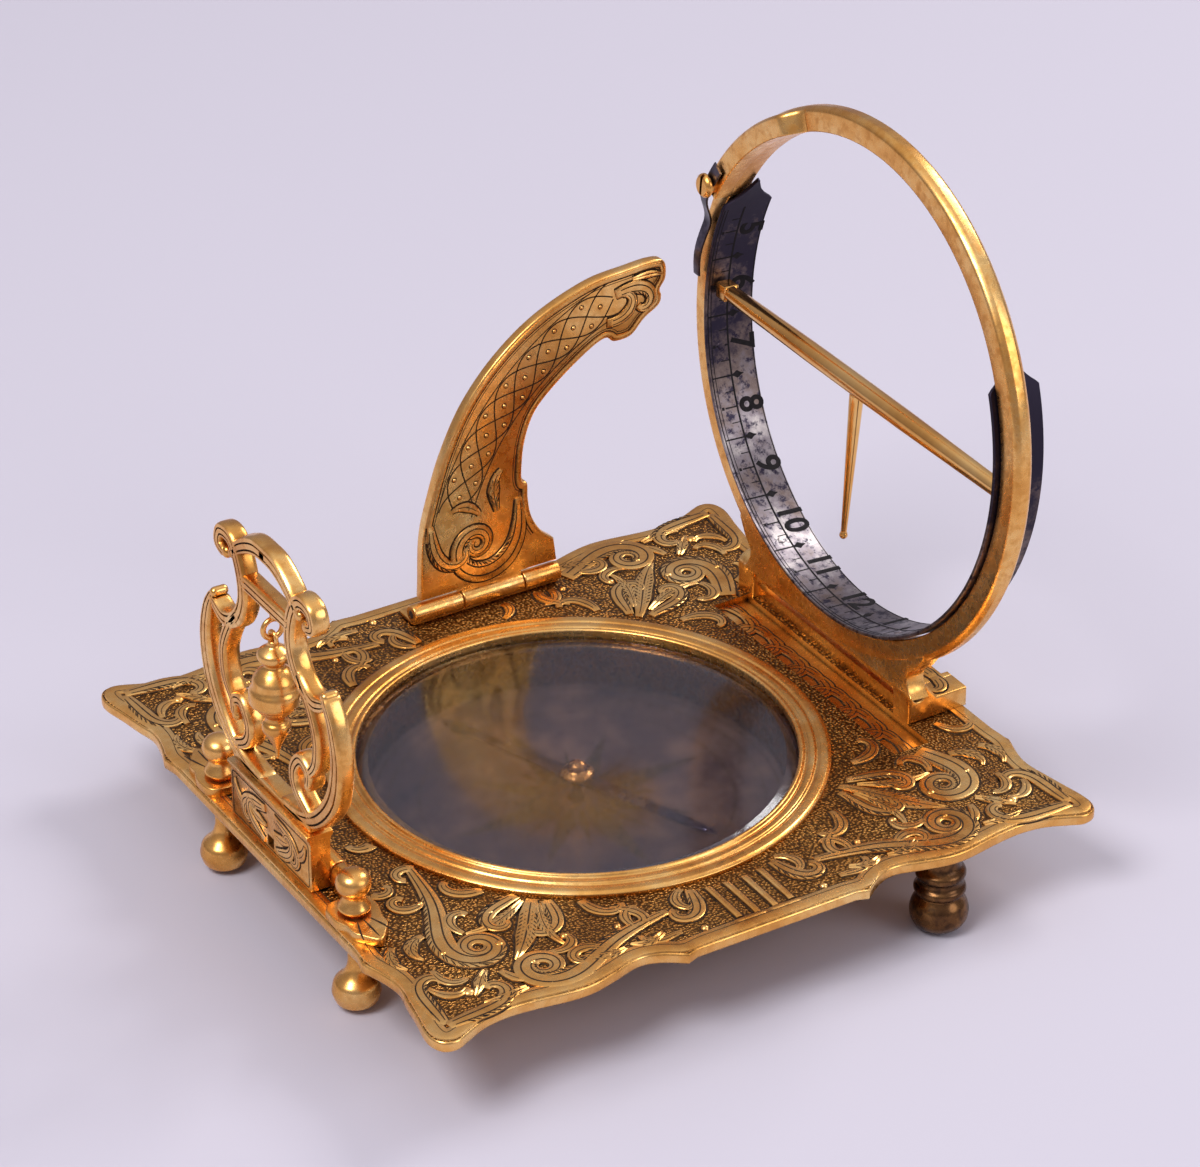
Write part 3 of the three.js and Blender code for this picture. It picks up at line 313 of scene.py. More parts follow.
# A flat outline with a thickness and a rounded edge. Its rings are the outline drawn in by bevel (1 - sin a) at
# depth bevel (1 - cos a), and the same from the far face; the first and last ring are filled.
def slab(name, outline, thickness, place, material, body, bevel, replaces=(), holes=()):
    a = np.linspace(0, pi / 2, 4)
    drawnIn, depth = bevel * (1 - np.sin(a)), bevel * (1 - np.cos(a))
    drawnIn, depth = np.concatenate([drawnIn, drawnIn[::-1]]), np.concatenate([depth, thickness - depth[::-1]])
    points, quads, rims, offset = [], [], [], 0
    for loop, inward in [(outline, 1)] + [(hole, -1) for hole in holes]:
        loop = np.asarray(loop, float)
        loop = loop if loopArea(loop) > 0 else loop[::-1]
        flat = loop[None] + loopNormals(loop)[None] * inward * drawnIn[:, None, None]
        lift = np.broadcast_to(depth[:, None], flat.shape[:2])
        points.append(place(flat[..., 0], flat[..., 1], lift).reshape(-1, 3))
        index = np.arange(len(depth) * len(loop)).reshape(len(depth), len(loop)) + offset
        around = np.roll(index, -1, 1)
        quads.append(np.stack([index[:-1], around[:-1], around[1:], index[1:]], -1).reshape(-1, 4))
        rims.append([np.stack([index[k], around[k]], -1) for k in (0, -1)])
        offset += index.size
    mesh = bpy.data.meshes.new(name)
    mesh.from_pydata((np.concatenate(points) * mm).tolist(), [], np.concatenate(quads).tolist())
    shape = bmesh.new()
    shape.from_mesh(mesh)
    shape.verts.ensure_lookup_table()
    for face in (0, 1):
        pairs = np.concatenate([rim[face] for rim in rims]).tolist()
        rim = [shape.edges.get((shape.verts[i], shape.verts[j])) for i, j in pairs]
        bmesh.ops.triangle_fill(shape, edges=rim, use_beauty=True, use_dissolve=False)
    shape.to_mesh(mesh)
    shape.free()
    return dressPiece(name, mesh, material, body, replaces)


def onTop(height, x0=0.0, y0=0.0):  # plane (a, b) is (x, y) with lift along +Z
    return lambda a, b, lift: np.stack([a + x0, b + y0, lift + height], -1)


def alongY(start):  # plane (a, b) is (x, z) and the thickness runs along +Y
    return lambda a, b, lift: np.stack([a, start + lift, b], -1)


def makeChasing(name, raised, cuts, body):  # raised strokes in bright gilt, and dark lines round and on them in the painted shade of the cuts
    makePiece(f"{name}_chasing", raised, gilt, body)
    makePiece(f"{name}_cuts", cuts, cutShade, body, sharpAngle=80)


# Fire-gilt brass: mercury gilding over cast and chased brass, burnished on the raised parts.
# It gives a warm yellow metal, brightest on edges, with brown painted shade in the hollows.
giltLook = {"bright": "#fad089", "mid": "#eeb262", "deep": "#cc8a3e", "paintedShade": "#3c2611", "roughLow": 0.2,
            "roughHigh": 0.36, "cloudMm": 6.0, "wearMm": 0.9, "scratchMm": 0.72, "hollowMm": 0.7, "spot": 0.35,
            "punchMm": 0.33, "wanderMm": 1.1, "wander": 0.00018, "punchShade": 0.85}


# ground is how much punched stipple the surface has, and spot how much the fine wear darkens it.
def giltMaterial(name, ground=0.0, **changes):
    look = {**giltLook, **changes}
    material, tree, shader = newMaterial(name)
    place = addNode(tree, "ShaderNodeTexCoord").outputs["Object"]
    clouds, fine = (addNode(tree, "ShaderNodeTexNoise", {"Vector": place, "Scale": 1 / (size * mm), "Detail": detail,
                                                         "Roughness": 0.6}).outputs["Fac"]
                    for size, detail in ((look["cloudMm"], 5), (look["wearMm"], 4)))
    tone = addNode(tree, "ShaderNodeValToRGB", {"Fac": clouds},
                   [(0.28, look["deep"]), (0.48, look["mid"]), (0.7, look["bright"])]).outputs[0]
    worn = addNode(tree, "ShaderNodeValToRGB", {"Fac": fine}, [(0.34, look["spot"]), (0.5, 0.0)]).outputs[0]
    toned = addNode(tree, "ShaderNodeMix", {0: worn, 6: tone, 7: toLinear(look["deep"])}, data_type="RGBA").outputs[2]
    # painted shade: the hollows that ambient occlusion finds are darkened towards a brown
    cavity = addNode(tree, "ShaderNodeAmbientOcclusion", {"Distance": look["hollowMm"] * mm}, samples=6,
                     only_local=True).outputs["AO"]
    hollowShade = addNode(tree, "ShaderNodeValToRGB", {"Fac": cavity}, [(0.25, 0.0), (0.8, 1.0)]).outputs[0]
    colour = addNode(tree, "ShaderNodeMix", {0: hollowShade, 6: toLinear(look["paintedShade"]), 7: toned},
                     data_type="RGBA").outputs[2]
    roughness = addNode(tree, "ShaderNodeValToRGB", {"Fac": fine},
                        [(0.3, look["roughHigh"]), (0.7, look["roughLow"])]).outputs[0]
    stretched = addNode(tree, "ShaderNodeMapping", {"Vector": place, "Rotation": (0.3, 0.5, 0.9),
                                                    "Scale": (1, 9, 3)}).outputs[0]
    scratch = addNode(tree, "ShaderNodeTexNoise", {"Vector": stretched, "Scale": 1 / (look["scratchMm"] * mm),
                                                   "Detail": 3}).outputs["Fac"]
    bump = addNode(tree, "ShaderNodeBump", {"Height": scratch, "Strength": 0.14, "Distance": 0.02 * mm}).outputs[0]
    if ground:
        wander = addNode(tree, "ShaderNodeTexNoise", {"Vector": place, "Scale": 1 / (look["wanderMm"] * mm),
                                                      "Detail": 2}).outputs["Color"]
        shifted = addNode(tree, "ShaderNodeMix", {0: look["wander"], 4: place, 5: wander},
                          data_type="VECTOR").outputs[1]
        punch = addNode(tree, "ShaderNodeTexVoronoi", {"Vector": shifted, "Scale": 1 / (look["punchMm"] * mm),
                                                       "Randomness": 0.8}).outputs["Distance"]
        bead = addNode(tree, "ShaderNodeValToRGB", {"Fac": punch}, [(0.05, 1.0), (0.5, 0.2), (0.75, 0.0)]).outputs[0]
        bump = addNode(tree, "ShaderNodeBump", {"Height": bead, "Strength": ground, "Distance": 0.13 * mm,
                                                "Normal": bump}).outputs[0]
        # painted shade: the ground is darkened towards the same brown between the punched beads
        between = addNode(tree, "ShaderNodeValToRGB", {"Fac": punch},
                          [(0.18, 0.0), (0.52, look["punchShade"])]).outputs[0]
        colour = addNode(tree, "ShaderNodeMix", {0: between, 6: colour, 7: toLinear(look["paintedShade"])},
                         data_type="RGBA").outputs[2]
        roughness = addNode(tree, "ShaderNodeMath", {0: roughness, 1: 0.08}, operation="ADD").outputs[0]
    finishMetal(tree, shader, colour, roughness, bump)
    return material


# Silvered brass: silver rubbed on with cream of tartar and brushed round the band.
# It gives a soft grey metal with brown and blue-black tarnish, and it is darker higher up, towards the band's ends.
silverLook = {"clean": "#aaa29e", "mid": "#7e757a", "tarnish": "#332e3c", "warm": "#6f605b", "darkFrom": 24,
              "darkTo": 52, "blotchMm": 4.5, "spotMm": 0.9, "grainMm": 0.8}


def silverMaterial(name, look=silverLook):
    material, tree, shader = newMaterial(name)
    place = addNode(tree, "ShaderNodeTexCoord").outputs["Object"]
    height = addNode(tree, "ShaderNodeSeparateXYZ", {"Vector": place}).outputs["Z"]
    high = addNode(tree, "ShaderNodeMapRange", {"Value": height, 1: look["darkFrom"] * mm,
                                                2: look["darkTo"] * mm}).outputs[0]
    blotch, spots = (addNode(tree, "ShaderNodeTexNoise", {"Vector": place, "Scale": 1 / (size * mm), "Detail": detail,
                                                          "Roughness": rough}).outputs["Fac"]
                     for size, detail, rough in ((look["blotchMm"], 7, 0.68), (look["spotMm"], 5, 0.7)))
    # darker higher up: the height is added to the blotches
    share = addNode(tree, "ShaderNodeMath", {0: high, 1: 0.42}, operation="MULTIPLY").outputs[0]
    darkness = addNode(tree, "ShaderNodeMath", {0: blotch, 1: share}, operation="ADD").outputs[0]
    base = addNode(tree, "ShaderNodeValToRGB", {"Fac": darkness}, [(0.34, look["clean"]), (0.5, look["mid"]),
                                                              (0.64, look["warm"]), (0.8, look["tarnish"])]).outputs[0]
    dots = addNode(tree, "ShaderNodeValToRGB", {"Fac": spots}, [(0.38, 0.0), (0.5, 1.0)]).outputs[0]
    colour = addNode(tree, "ShaderNodeMix", {0: dots, 6: toLinear(look["tarnish"]), 7: base},
                     data_type="RGBA").outputs[2]
    roughness = addNode(tree, "ShaderNodeValToRGB", {"Fac": darkness}, [(0.35, 0.3), (0.9, 0.52)]).outputs[0]
    grain = addNode(tree, "ShaderNodeMapping", {"Vector": place, "Scale": (14, 1, 1)}).outputs[0]
    lines = addNode(tree, "ShaderNodeTexNoise", {"Vector": grain, "Scale": 1 / (look["grainMm"] * mm),
                                                 "Detail": 3}).outputs["Fac"]
    bump = addNode(tree, "ShaderNodeBump", {"Height": lines, "Strength": 0.25, "Distance": 0.03 * mm}).outputs[0]
    finishMetal(tree, shader, colour, roughness, bump)
    return material


# Drawn or blued steel: satin, with clouds of a lighter and a darker tone and a fine grain.
def steelMaterial(name, light, darkTone, low, high, cloudMm=2.2, grainMm=0.25):
    material, tree, shader = newMaterial(name)
    place = addNode(tree, "ShaderNodeTexCoord").outputs["Object"]
    cloud = addNode(tree, "ShaderNodeTexNoise", {"Vector": place, "Scale": 1 / (cloudMm * mm), "Detail": 5,
                                                 "Roughness": 0.6}).outputs["Fac"]
    colour = addNode(tree, "ShaderNodeValToRGB", {"Fac": cloud}, [(0.35, darkTone), (0.68, light)]).outputs[0]
    roughness = addNode(tree, "ShaderNodeValToRGB", {"Fac": cloud}, [(0.3, high), (0.7, low)]).outputs[0]
    grain = addNode(tree, "ShaderNodeTexNoise", {"Vector": place, "Scale": 1 / (grainMm * mm),
                                                 "Detail": 2}).outputs["Fac"]
    bump = addNode(tree, "ShaderNodeBump", {"Height": grain, "Strength": 0.1, "Distance": 0.02 * mm}).outputs[0]
    finishMetal(tree, shader, colour, roughness, bump)
    return material


# Engraving filled with black wax, printed ink, and the dark brown of cut lines, which is painted shade with oxide: dull
# and slightly uneven.
def inkMaterial(name, tone, cloudMm=0.5):
    material, tree, shader = newMaterial(name)
    place = addNode(tree, "ShaderNodeTexCoord").outputs["Object"]
    cloud = addNode(tree, "ShaderNodeTexNoise", {"Vector": place, "Scale": 1 / (cloudMm * mm),
                                                 "Detail": 3}).outputs["Fac"]
    colour = addNode(tree, "ShaderNodeValToRGB", {"Fac": cloud}, [(0.3, "#090708"), (0.75, tone)]).outputs[0]
    tree.links.new(colour, shader.inputs["Base Color"])
    shader.inputs["Roughness"].default_value = 0.75
    shader.inputs["Specular IOR Level"].default_value = 0.2
    return material


# Japanned card: lacquered black and aged, so brown clouds and pale dust lie on blue-black.
def cardMaterial(name, cloudMm=7, dustMm=0.5):
    material, tree, shader = newMaterial(name)
    place = addNode(tree, "ShaderNodeTexCoord").outputs["Object"]
    cloud, speck = (addNode(tree, "ShaderNodeTexNoise", {"Vector": place, "Scale": 1 / (size * mm), "Detail": detail,
                                                         "Roughness": rough}).outputs["Fac"]
                    for size, detail, rough in ((cloudMm, 8, 0.66), (dustMm, 3, 0.8)))
    base = addNode(tree, "ShaderNodeValToRGB", {"Fac": cloud},
                   [(0.3, "#2f2838"), (0.5, "#6a5246"), (0.66, "#a07e62")]).outputs[0]
    dust = addNode(tree, "ShaderNodeValToRGB", {"Fac": speck}, [(0.62, 0.0), (0.74, 1.0)]).outputs[0]
    colour = addNode(tree, "ShaderNodeMix", {0: dust, 6: base, 7: toLinear("#c0a888")}, data_type="RGBA").outputs[2]
    tree.links.new(colour, shader.inputs["Base Color"])
    shader.inputs["Roughness"].default_value = 0.55
    return material


def glassMaterial(name, dustMm=0.35):  # old crown glass, blown and ground flat: faintly grey, dusty on the inside
    material, tree, shader = newMaterial(name)
    place = addNode(tree, "ShaderNodeTexCoord").outputs["Object"]
    dust = addNode(tree, "ShaderNodeTexNoise", {"Vector": place, "Scale": 1 / (dustMm * mm), "Detail": 6,
                                                "Roughness": 0.75}).outputs["Fac"]
    roughness = addNode(tree, "ShaderNodeValToRGB", {"Fac": dust}, [(0.42, 0.06), (0.7, 0.24)]).outputs[0]
    tree.links.new(roughness, shader.inputs["Roughness"])
    shader.inputs["Base Color"].default_value = toLinear("#d2cfdd")
    shader.inputs["Transmission Weight"].default_value = 1.0
    shader.inputs["IOR"].default_value = 1.5
    return material


gilt = giltMaterial("gilt_brass_burnished")
giltGround = giltMaterial("gilt_brass_punched", ground=1.0, bright="#dca257", mid="#bd8342", deep="#925d2a")
giltPlain = giltMaterial("gilt_brass_worn", spot=0.6)
giltBright = giltMaterial("gilt_brass_polished", spot=0.0, roughLow=0.14, roughHigh=0.22, cloudMm=15.0)
# A darker copy of the gilt for the rear feet: painted shade and a painted dark reflection.
giltShaded = giltMaterial("gilt_brass_painted_shade", spot=0.8, bright="#9a6f3f", mid="#6b4a2e", deep="#3d2c22")
boxBrass = giltMaterial("turned_brass_dark", spot=0.8, bright="#c08a48", mid="#94652f", deep="#5d3d1c")
silvered = silverMaterial("silvered_brass")
bluedSteel = steelMaterial("blued_spring_steel", "#6a6470", "#2b2731", 0.22, 0.42)
pinSteel = steelMaterial("drawn_steel", "#8d8b8c", "#45424a", 0.25, 0.45)
blackWax = inkMaterial("black_wax_filling", "#1d181b")
# painted shade with oxide: the dark brown in the cuts and in the strips at the feet of raised work
cutShade = inkMaterial("cut_shade_and_oxide", "#4a3118")
japanned = cardMaterial("japanned_card")
roseInk = inkMaterial("rose_print", "#8f7853")
crownGlass = glassMaterial("crown_glass")
print("finishes made")


plate = {"halfLength": 36.7, "halfWidth": 34.7, "bottom": 8.4, "top": 9.6, "edgeRadius": 0.3, "glassX": -1.3,
         "glassRadius": 22.2, "bezelRadius": 25.3, "slotFloor": 8.9, "borderInset": 1.05, "borderWidth": 1.7,
         "borderHeight": 0.15, "relief": 0.18}
plateCurveShares = np.array([
    [0.272, 0.99], [0.335, 0.947], [0.39, 0.934], [0.465, 0.955], [0.535, 0.972], [0.6, 0.972], [0.7, 0.955],
    [0.775, 0.948], [0.845, 0.957], [0.905, 0.983], [0.945, 1], [0.98, 0.992], [0.998, 0.962], [1, 0.92], [0.986, 0.85],
    [0.975, 0.78], [0.962, 0.712], [0.972, 0.645], [0.993, 0.575]])
straightShares = np.array([[0.24, 0.978], [0.984, 0.53]])


# One quarter is a spline through shares of the half sizes between two straight edges, mirrored over both axes.
def plateOutline(count=90):
    half = np.array([plate["halfLength"], plate["halfWidth"]])
    quarter = np.vstack([straightShares[:1] * half, spline(plateCurveShares * half, count), straightShares[1:] * half])
    return np.vstack([quarter, quarter[::-1] * [1, -1], quarter * [-1, -1], quarter[::-1] * [-1, 1]])


def circle(radius, count, x=0.0, y=0.0):  # count points at even angles
    return arcPoints(radius, np.arange(count) * 2 * pi / count, x, y)


def arcPoints(radius, a, x, y):  # points at the angles a: radius cos a and radius sin a from the middle
    return np.stack([x + radius * np.cos(a), y + radius * np.sin(a)], 1)


def carve(piece, *cutters):  # takes the cutters' boxes, each (low corner, high corner) in mm, out of the piece's mesh
    corner = np.array([[x, y, z] for x in (0, 1) for y in (0, 1) for z in (0, 1)])
    faces = [(0, 1, 3, 2), (4, 6, 7, 5), (0, 4, 5, 1), (2, 3, 7, 6), (0, 2, 6, 4), (1, 5, 7, 3)]
    for low, high in cutters:
        low, high = np.array(low) * mm, np.array(high) * mm
        mesh = bpy.data.meshes.new("cutter")
        mesh.from_pydata((low + corner * (high - low)).tolist(), [], faces)
        cutter = bpy.data.objects.new("cutter", mesh)
        bpy.context.scene.collection.objects.link(cutter)
        step = piece.modifiers.new("carve", "BOOLEAN")
        step.operation, step.object, step.solver = "DIFFERENCE", cutter, "EXACT"
        shaped = bpy.data.meshes.new_from_object(piece.evaluated_get(bpy.context.evaluated_depsgraph_get()))
        piece.modifiers.clear()
        old, piece.data = piece.data, shaped
        bpy.data.meshes.remove(old)
        bpy.data.objects.remove(cutter)
    piece.data.set_sharp_from_angle(angle=np.radians(38))


# A second finish for the faces that look along a direction and lie beyond a distance in mm.
def finishFaces(piece, material, direction, beyond):
    mesh = piece.data
    mesh.materials.append(material)
    normal, middle = np.empty(len(mesh.polygons) * 3), np.empty(len(mesh.polygons) * 3)
    mesh.polygons.foreach_get("normal", normal)
    mesh.polygons.foreach_get("center", middle)
    chosen = (normal.reshape(-1, 3) @ direction > 0.95) & (middle.reshape(-1, 3) @ direction > beyond * mm)
    mesh.polygons.foreach_set("material_index", chosen.astype(np.int32))


# The slot takes the folded band, so its curls are low.
slot = {"front": 25.1, "back": 29.2, "half": 16.4, "above": 12, "curlX": 27.2, "curlHeight": 0.1}
edge = plateOutline()
glassHole = circle(plate["glassRadius"], 200, plate["glassX"])
basePlate = slab("plate_body", edge, plate["top"] - plate["bottom"], onTop(plate["bottom"]), gilt, "base",
                 plate["edgeRadius"], ("base_plate",), holes=(glassHole,))
carve(basePlate, ((slot["front"], -slot["half"], plate["slotFloor"]), (slot["back"], slot["half"], slot["above"])))
finishFaces(basePlate, giltGround, (0, 0, 1), plate["top"] - 0.05)


def evenly(loop, count):  # a closed line's points moved to equal steps along it
    whole = np.vstack([loop, loop[:1]])
    t = np.concatenate([[0], np.cumsum(np.linalg.norm(np.diff(whole, axis=0), axis=1))])
    s = np.arange(count) * t[-1] / count
    return np.stack([np.interp(s, t, whole[:, i]) for i in (0, 1)], 1)


def inset(loop, distance):  # the loop drawn in along its normals, then smoothed over neighbours
    drawn = loop + loopNormals(loop, 3) * distance * np.sign(loopArea(loop))
    return np.mean([np.roll(drawn, step, 0) for step in range(-4, 5)], 0)


# Chased ornament of the plate, drawn for one quarter in mm and mirrored.
cornerScrolls = [
    ((25.3, 8.6), 84, 29.0, (0, -0.02, -0.07, -0.02, 0.14, 0.36, 0.55, 0.68, 0.85, 1.0),
     (0.9, 1.4, 1.9, 2.3, 2.7, 2.6, 2.3, 1.9, 1.4, 1.0), "scroll"),
    ((8.2, 27.6), 8, 28.0, (0, 0.02, 0.08, 0.02, -0.14, -0.36, -0.55, -0.68, -0.85, -1.0),
     (0.9, 1.4, 1.9, 2.3, 2.7, 2.6, 2.3, 1.9, 1.4, 1.0), "scroll"),
    ((34.5, 32.5), 186, 10.6, (-0.05, 0, 0.05, 0.34, 0.8, 1.3), (1.2, 1.7, 1.9, 1.7, 1.4, 0.9), "scroll"),
    ((34.7, 32.2), 265, 10.0, (0.05, 0, -0.04, -0.34, -0.85, -1.4), (1.1, 1.6, 1.8, 1.6, 1.3, 0.9), "scroll"),
    ((17.2, 18.4), 48, 11.0, (0.06, -0.02, -0.08), (0.8, 2.0, 2.1, 0.4), "leaf"),
    ((18.4, 17.9), 20, 9.4, (-0.14, 0.04, 0.34, 0.9, 1.5), (0.9, 1.5, 1.6, 1.2, 0.7), "scroll"),
    ((16.7, 19.3), 72, 9.4, (0.14, -0.04, -0.34, -0.9, -1.5), (0.9, 1.5, 1.6, 1.2, 0.7), "scroll"),
    ((18.9, 19.0), 32, 7.6, (-0.02, -0.1, -0.24), (0.6, 1.5, 0.4), "leaf"),
    ((17.8, 20.2), 64, 7.2, (0.02, 0.1, 0.24), (0.6, 1.5, 0.4), "leaf"),
    ((20.6, 15.6), 4, 6.0, (-0.1, -0.3, -0.6, -1.3), (0.8, 1.4, 1.2, 0.7), "scroll"),
    ((14.2, 21.6), 88, 5.8, (0.1, 0.3, 0.6, 1.3), (0.8, 1.4, 1.2, 0.7), "scroll"),
    ((25.4, 31.0), 8, 4.6, (0.1, -0.15, -0.3), (0.8, 1.4, 0.4), "leaf"),
    ((20.2, 31.8), -14, 4.0, (0.3, 0.1, -0.1), (0.6, 1.2, 0.4), "leaf"),
    ((14.6, 30.5), 20, 4.6, (-0.2, -0.3, -0.4), (0.7, 1.5, 0.4), "leaf"),
    ((10.4, 30.2), 40, 3.8, (-0.3, -0.5), (0.8, 1.4, 0.4), "leaf"),
    ((29.6, 19.2), 6, 4.6, (0.3, 0.5, 0.6), (0.8, 1.5, 0.4), "leaf"),
    ((33.0, 19.4), 40, 4.2, (0.3, 0.4, 0.5), (0.8, 1.4, 0.4), "leaf"),
    ((27.4, 26.8), 40, 4.0, (0.2, 0, -0.2), (0.7, 1.4, 0.4), "leaf"),
    ((26.2, 27.6), 100, 3.4, (0.2, 0.2), (0.7, 1.2, 0.3), "leaf"),
    ((12.6, 24.4), 145, 6.4, (0, -0.3, -0.9, -1.4), (0.7, 1.3, 1.2, 0.8), "scroll"),
    ((23.6, 11.4), -66, 6.4, (0, 0.3, 0.9, 1.4), (0.7, 1.3, 1.2, 0.8), "scroll"),
    ((24.9, 1.4), 70, 5.6, (0, -0.5, -1.1), (0.8, 1.5, 1.3, 0.8), "scroll"),
    ((27.0, 14.6), 30, 5.6, (-0.3, -0.6, -1.0, -1.6), (0.6, 1.3, 1.1, 0.7), "scroll"),
    ((30.4, 9.0), 60, 5.4, (0.3, 0.6, 1.0, 1.6), (0.6, 1.3, 1.1, 0.7), "scroll"),
    ((8.8, 31.0), 4, 4.6, (0.2, -0.4, -1.0), (0.6, 1.1, 0.6), "scroll"),
    ((31.6, 24.4), 84, 4.4, (0.1, 0.5, 1.2), (0.6, 1.2, 0.6), "scroll"),
    ((16.4, 29.4), -44, 5.4, (0.2, 0.5, 1.0, 1.5), (0.7, 1.4, 1.2, 0.7), "scroll"),
    ((21.0, 27.4), 150, 4.6, (0.3, 0.6, 1.2), (0.6, 1.3, 0.7), "scroll"),
    ((26.2, 20.8), -62, 5.0, (-0.2, -0.6, -1.3), (0.6, 1.3, 0.7), "scroll"),
    ((31.6, 14.0), 80, 5.0, (-0.2, -0.5, -1.2), (0.6, 1.3, 0.7), "scroll"),
    ((33.2, 26.6), 100, 4.4, (0.2, 0.5, 1.0), (0.6, 1.2, 0.5), "leaf"),
    ((12.0, 28.4), -70, 4.4, (-0.2, -0.5, -1.1), (0.6, 1.2, 0.6), "scroll"),
]
# Ribbed pillar and small scrolls at the straight middles of the two Y edges, drawn for +X and mirrored.
edgeScrolls = [
    ((4.6, 25.7), 78, 7.4, (0, -0.1, -0.5, -1.0, -1.3), (1.0, 1.6, 1.7, 1.3, 0.9), "scroll"),
    ((2.9, 26.2), 90, 5.6, (0, 0), (0.7, 0.7), "plain"),
    ((1.0, 26.4), 90, 5.6, (0, 0), (0.7, 0.7), "plain"),
    ((0.1, 32.3), 0, 3.6, (0, 0), (0.6, 0.6), "plain"),
    ((5.2, 25.2), 20, 4.4, (0.3, 0.6, 1.0), (0.6, 1.2, 0.6), "scroll"),
]
plateBerries = [(24.2, 23.9, 0.55), (30.3, 28.9, 0.6), (18.4, 25.9, 0.45), (13.4, 27.2, 0.4), (27.3, 14.6, 0.4),
                (22.4, 19.2, 0.4), (6.6, 31.6, 0.45), (23.0, 28.0, 0.4), (29.4, 22.6, 0.4)]
berry = {"height": 0.3, "rim": 0.16, "rimHeight": 0.05}


def dome(x, y, radius, height, place, sides=10):  # a low round bead on a plane: its height falls as the radius grows
    r = radius * np.array([0.0, 0.5, 0.85, 1.0])
    lift = np.broadcast_to(height * np.array([1.0, 0.86, 0.45, -0.3]), (sides, 4))
    a = (np.arange(sides) * 2 * pi / sides)[:, None]
    return place(x + np.cos(a) * r, y + np.sin(a) * r, lift), True, False


# Boxes (x from, x to, y from, y to) that the slot for the folded band, the hinges' seats and the bosses take.
takenBoxes = [(24.4, 30.0, -17.2, 17.2), (28.6, 40.0, -13.4, 18.8), (-34.0, -29.3, -10.9, 10.9),
              (-4.3, 14.7, 28.0, 40.0), (-36.2, -31.0, 11.6, 19.4), (-36.2, -31.0, -19.4, -11.6)]


def freeGround(line):  # points outside the bezel's circle and all taken boxes
    x, y = line.T
    free = np.hypot(x - plate["glassX"], y) > plate["bezelRadius"]
    for x0, x1, y0, y1 in takenBoxes:
        free &= ~((x > x0) & (x < x1) & (y > y0) & (y < y1))
    return free


onPlate = onTop(plate["top"])
quarters = [(1, 1), (1, -1), (-1, -1), (-1, 1)]
evenEdge = evenly(edge, 900)
plateRaised, plateCuts = chase(cornerScrolls, quarters, onPlate, plate["relief"], keep=freeGround)
edgeRaised, edgeCuts = chase(edgeScrolls, quarters, onPlate, plate["relief"], keep=freeGround)
for x, y, radius in plateBerries:
    for sx, sy in quarters:
        if freeGround(np.array([[x * sx, y * sy]]))[0]:
            edgeRaised.append(dome(x * sx, y * sy, radius, berry["height"], onPlate))
            # painted shade: a dark ring round the berry's foot
            edgeCuts.append(dome(x * sx, y * sy, radius + berry["rim"], berry["rimHeight"], onPlate))
borderLine = inset(evenEdge, plate["borderInset"])
edgeRaised.append(closedRelief(borderLine, plate["borderWidth"], plate["borderHeight"], "plain", onPlate))
# a dark line of painted shade at the border's inner foot, and a cut along its top
for inward, width, lift in ((plate["borderWidth"] / 2 + 0.02, 0.24, 0.03), (0.28, 0.11, 0.165)):
    rim = inset(evenEdge, plate["borderInset"] + inward)
    edgeCuts.append(closedRelief(rim, width, lift, "plain", onPlate, sink=0.03))
slotCurls = [((slot["curlX"], y), 90 * way, 5.0, np.array([0.0, 0.3, 1.0, 1.7]) * way, (1.0, 1.4, 1.2, 0.8), "scroll")
             for y in (-13.9, -9.2, -4.6, 0.0, 4.6, 9.2, 13.9) for way in (1, -1)]
slotRaised, slotCuts = chase(slotCurls, [(1, 1)], onTop(plate["slotFloor"]), slot["curlHeight"])
makePiece("plate_chasing", plateRaised + slotRaised, gilt, "base")
makePiece("plate_border", edgeRaised, gilt, "base")
makePiece("plate_cuts", plateCuts + slotCuts, cutShade, "base", sharpAngle=80)
makePiece("border_cuts", edgeCuts, cutShade, "base", sharpAngle=80)
print("plate made")


# Compass: profiles are (radius, height) in mm, from the ground that the dial stands on.
compass = {"x": -1.3, "cardTop": 3.8, "needleLength": 34.0, "needleZ": 6.18, "needleThickness": 0.3,
           "needleHeading": 112.0}
atCompass = (compass["x"], 0, 0)
bezelProfile = roundedProfile([[21.7, 9.55], [21.7, 10.22], [21.85, 10.36], [22.1, 10.36], [22.25, 10.12],
                               [22.45, 10.05], [22.62, 10.2], [23.25, 10.24], [23.4, 10.05], [23.62, 10.03],
                               [23.8, 10.16], [24.55, 10.15], [24.9, 9.95], [24.9, 9.55]],
                              closed=True, steps=3, radius=0.08)
makePiece("bezel", [(turned(bezelProfile, 220, atCompass)[0], True, True)], gilt, "base", ("compass_bezel",))
glassEdge = [[0.0, 8.62], [21.6, 8.62], [21.95, 8.7], [21.95, 9.1], [20.55, 9.58], [0.0, 9.58]]
makePiece("glass", [turned(glassEdge, 160, atCompass)], crownGlass, "base", ("compass_glass",), 12)
cardProfile = roundedProfile([[0.95, 3.42], [20.9, 3.42], [20.9, 3.8], [0.95, 3.8]], closed=True, steps=2, radius=0.05)
makePiece("card", [(turned(cardProfile, 120, atCompass)[0], True, True)], japanned, "base", ("compass_card",))
onCard = onTop(compass["cardTop"], compass["x"])
rose = {"inner": 2.0, "rays": ((14.5, 3.2), (9.0, 1.1), (12.0, 2.2), (9.0, 1.1)), "rayHeight": 0.06, "lineHeight": 0.03,
        "sink": 0.02, "rings": ((15.6, 0.16), (18.6, 0.14), (20.1, 0.22)), "marks": 72, "markOuter": 18.6,
        "markInner": 17.7, "longMarkInner": 16.9, "markWidth": 0.16}


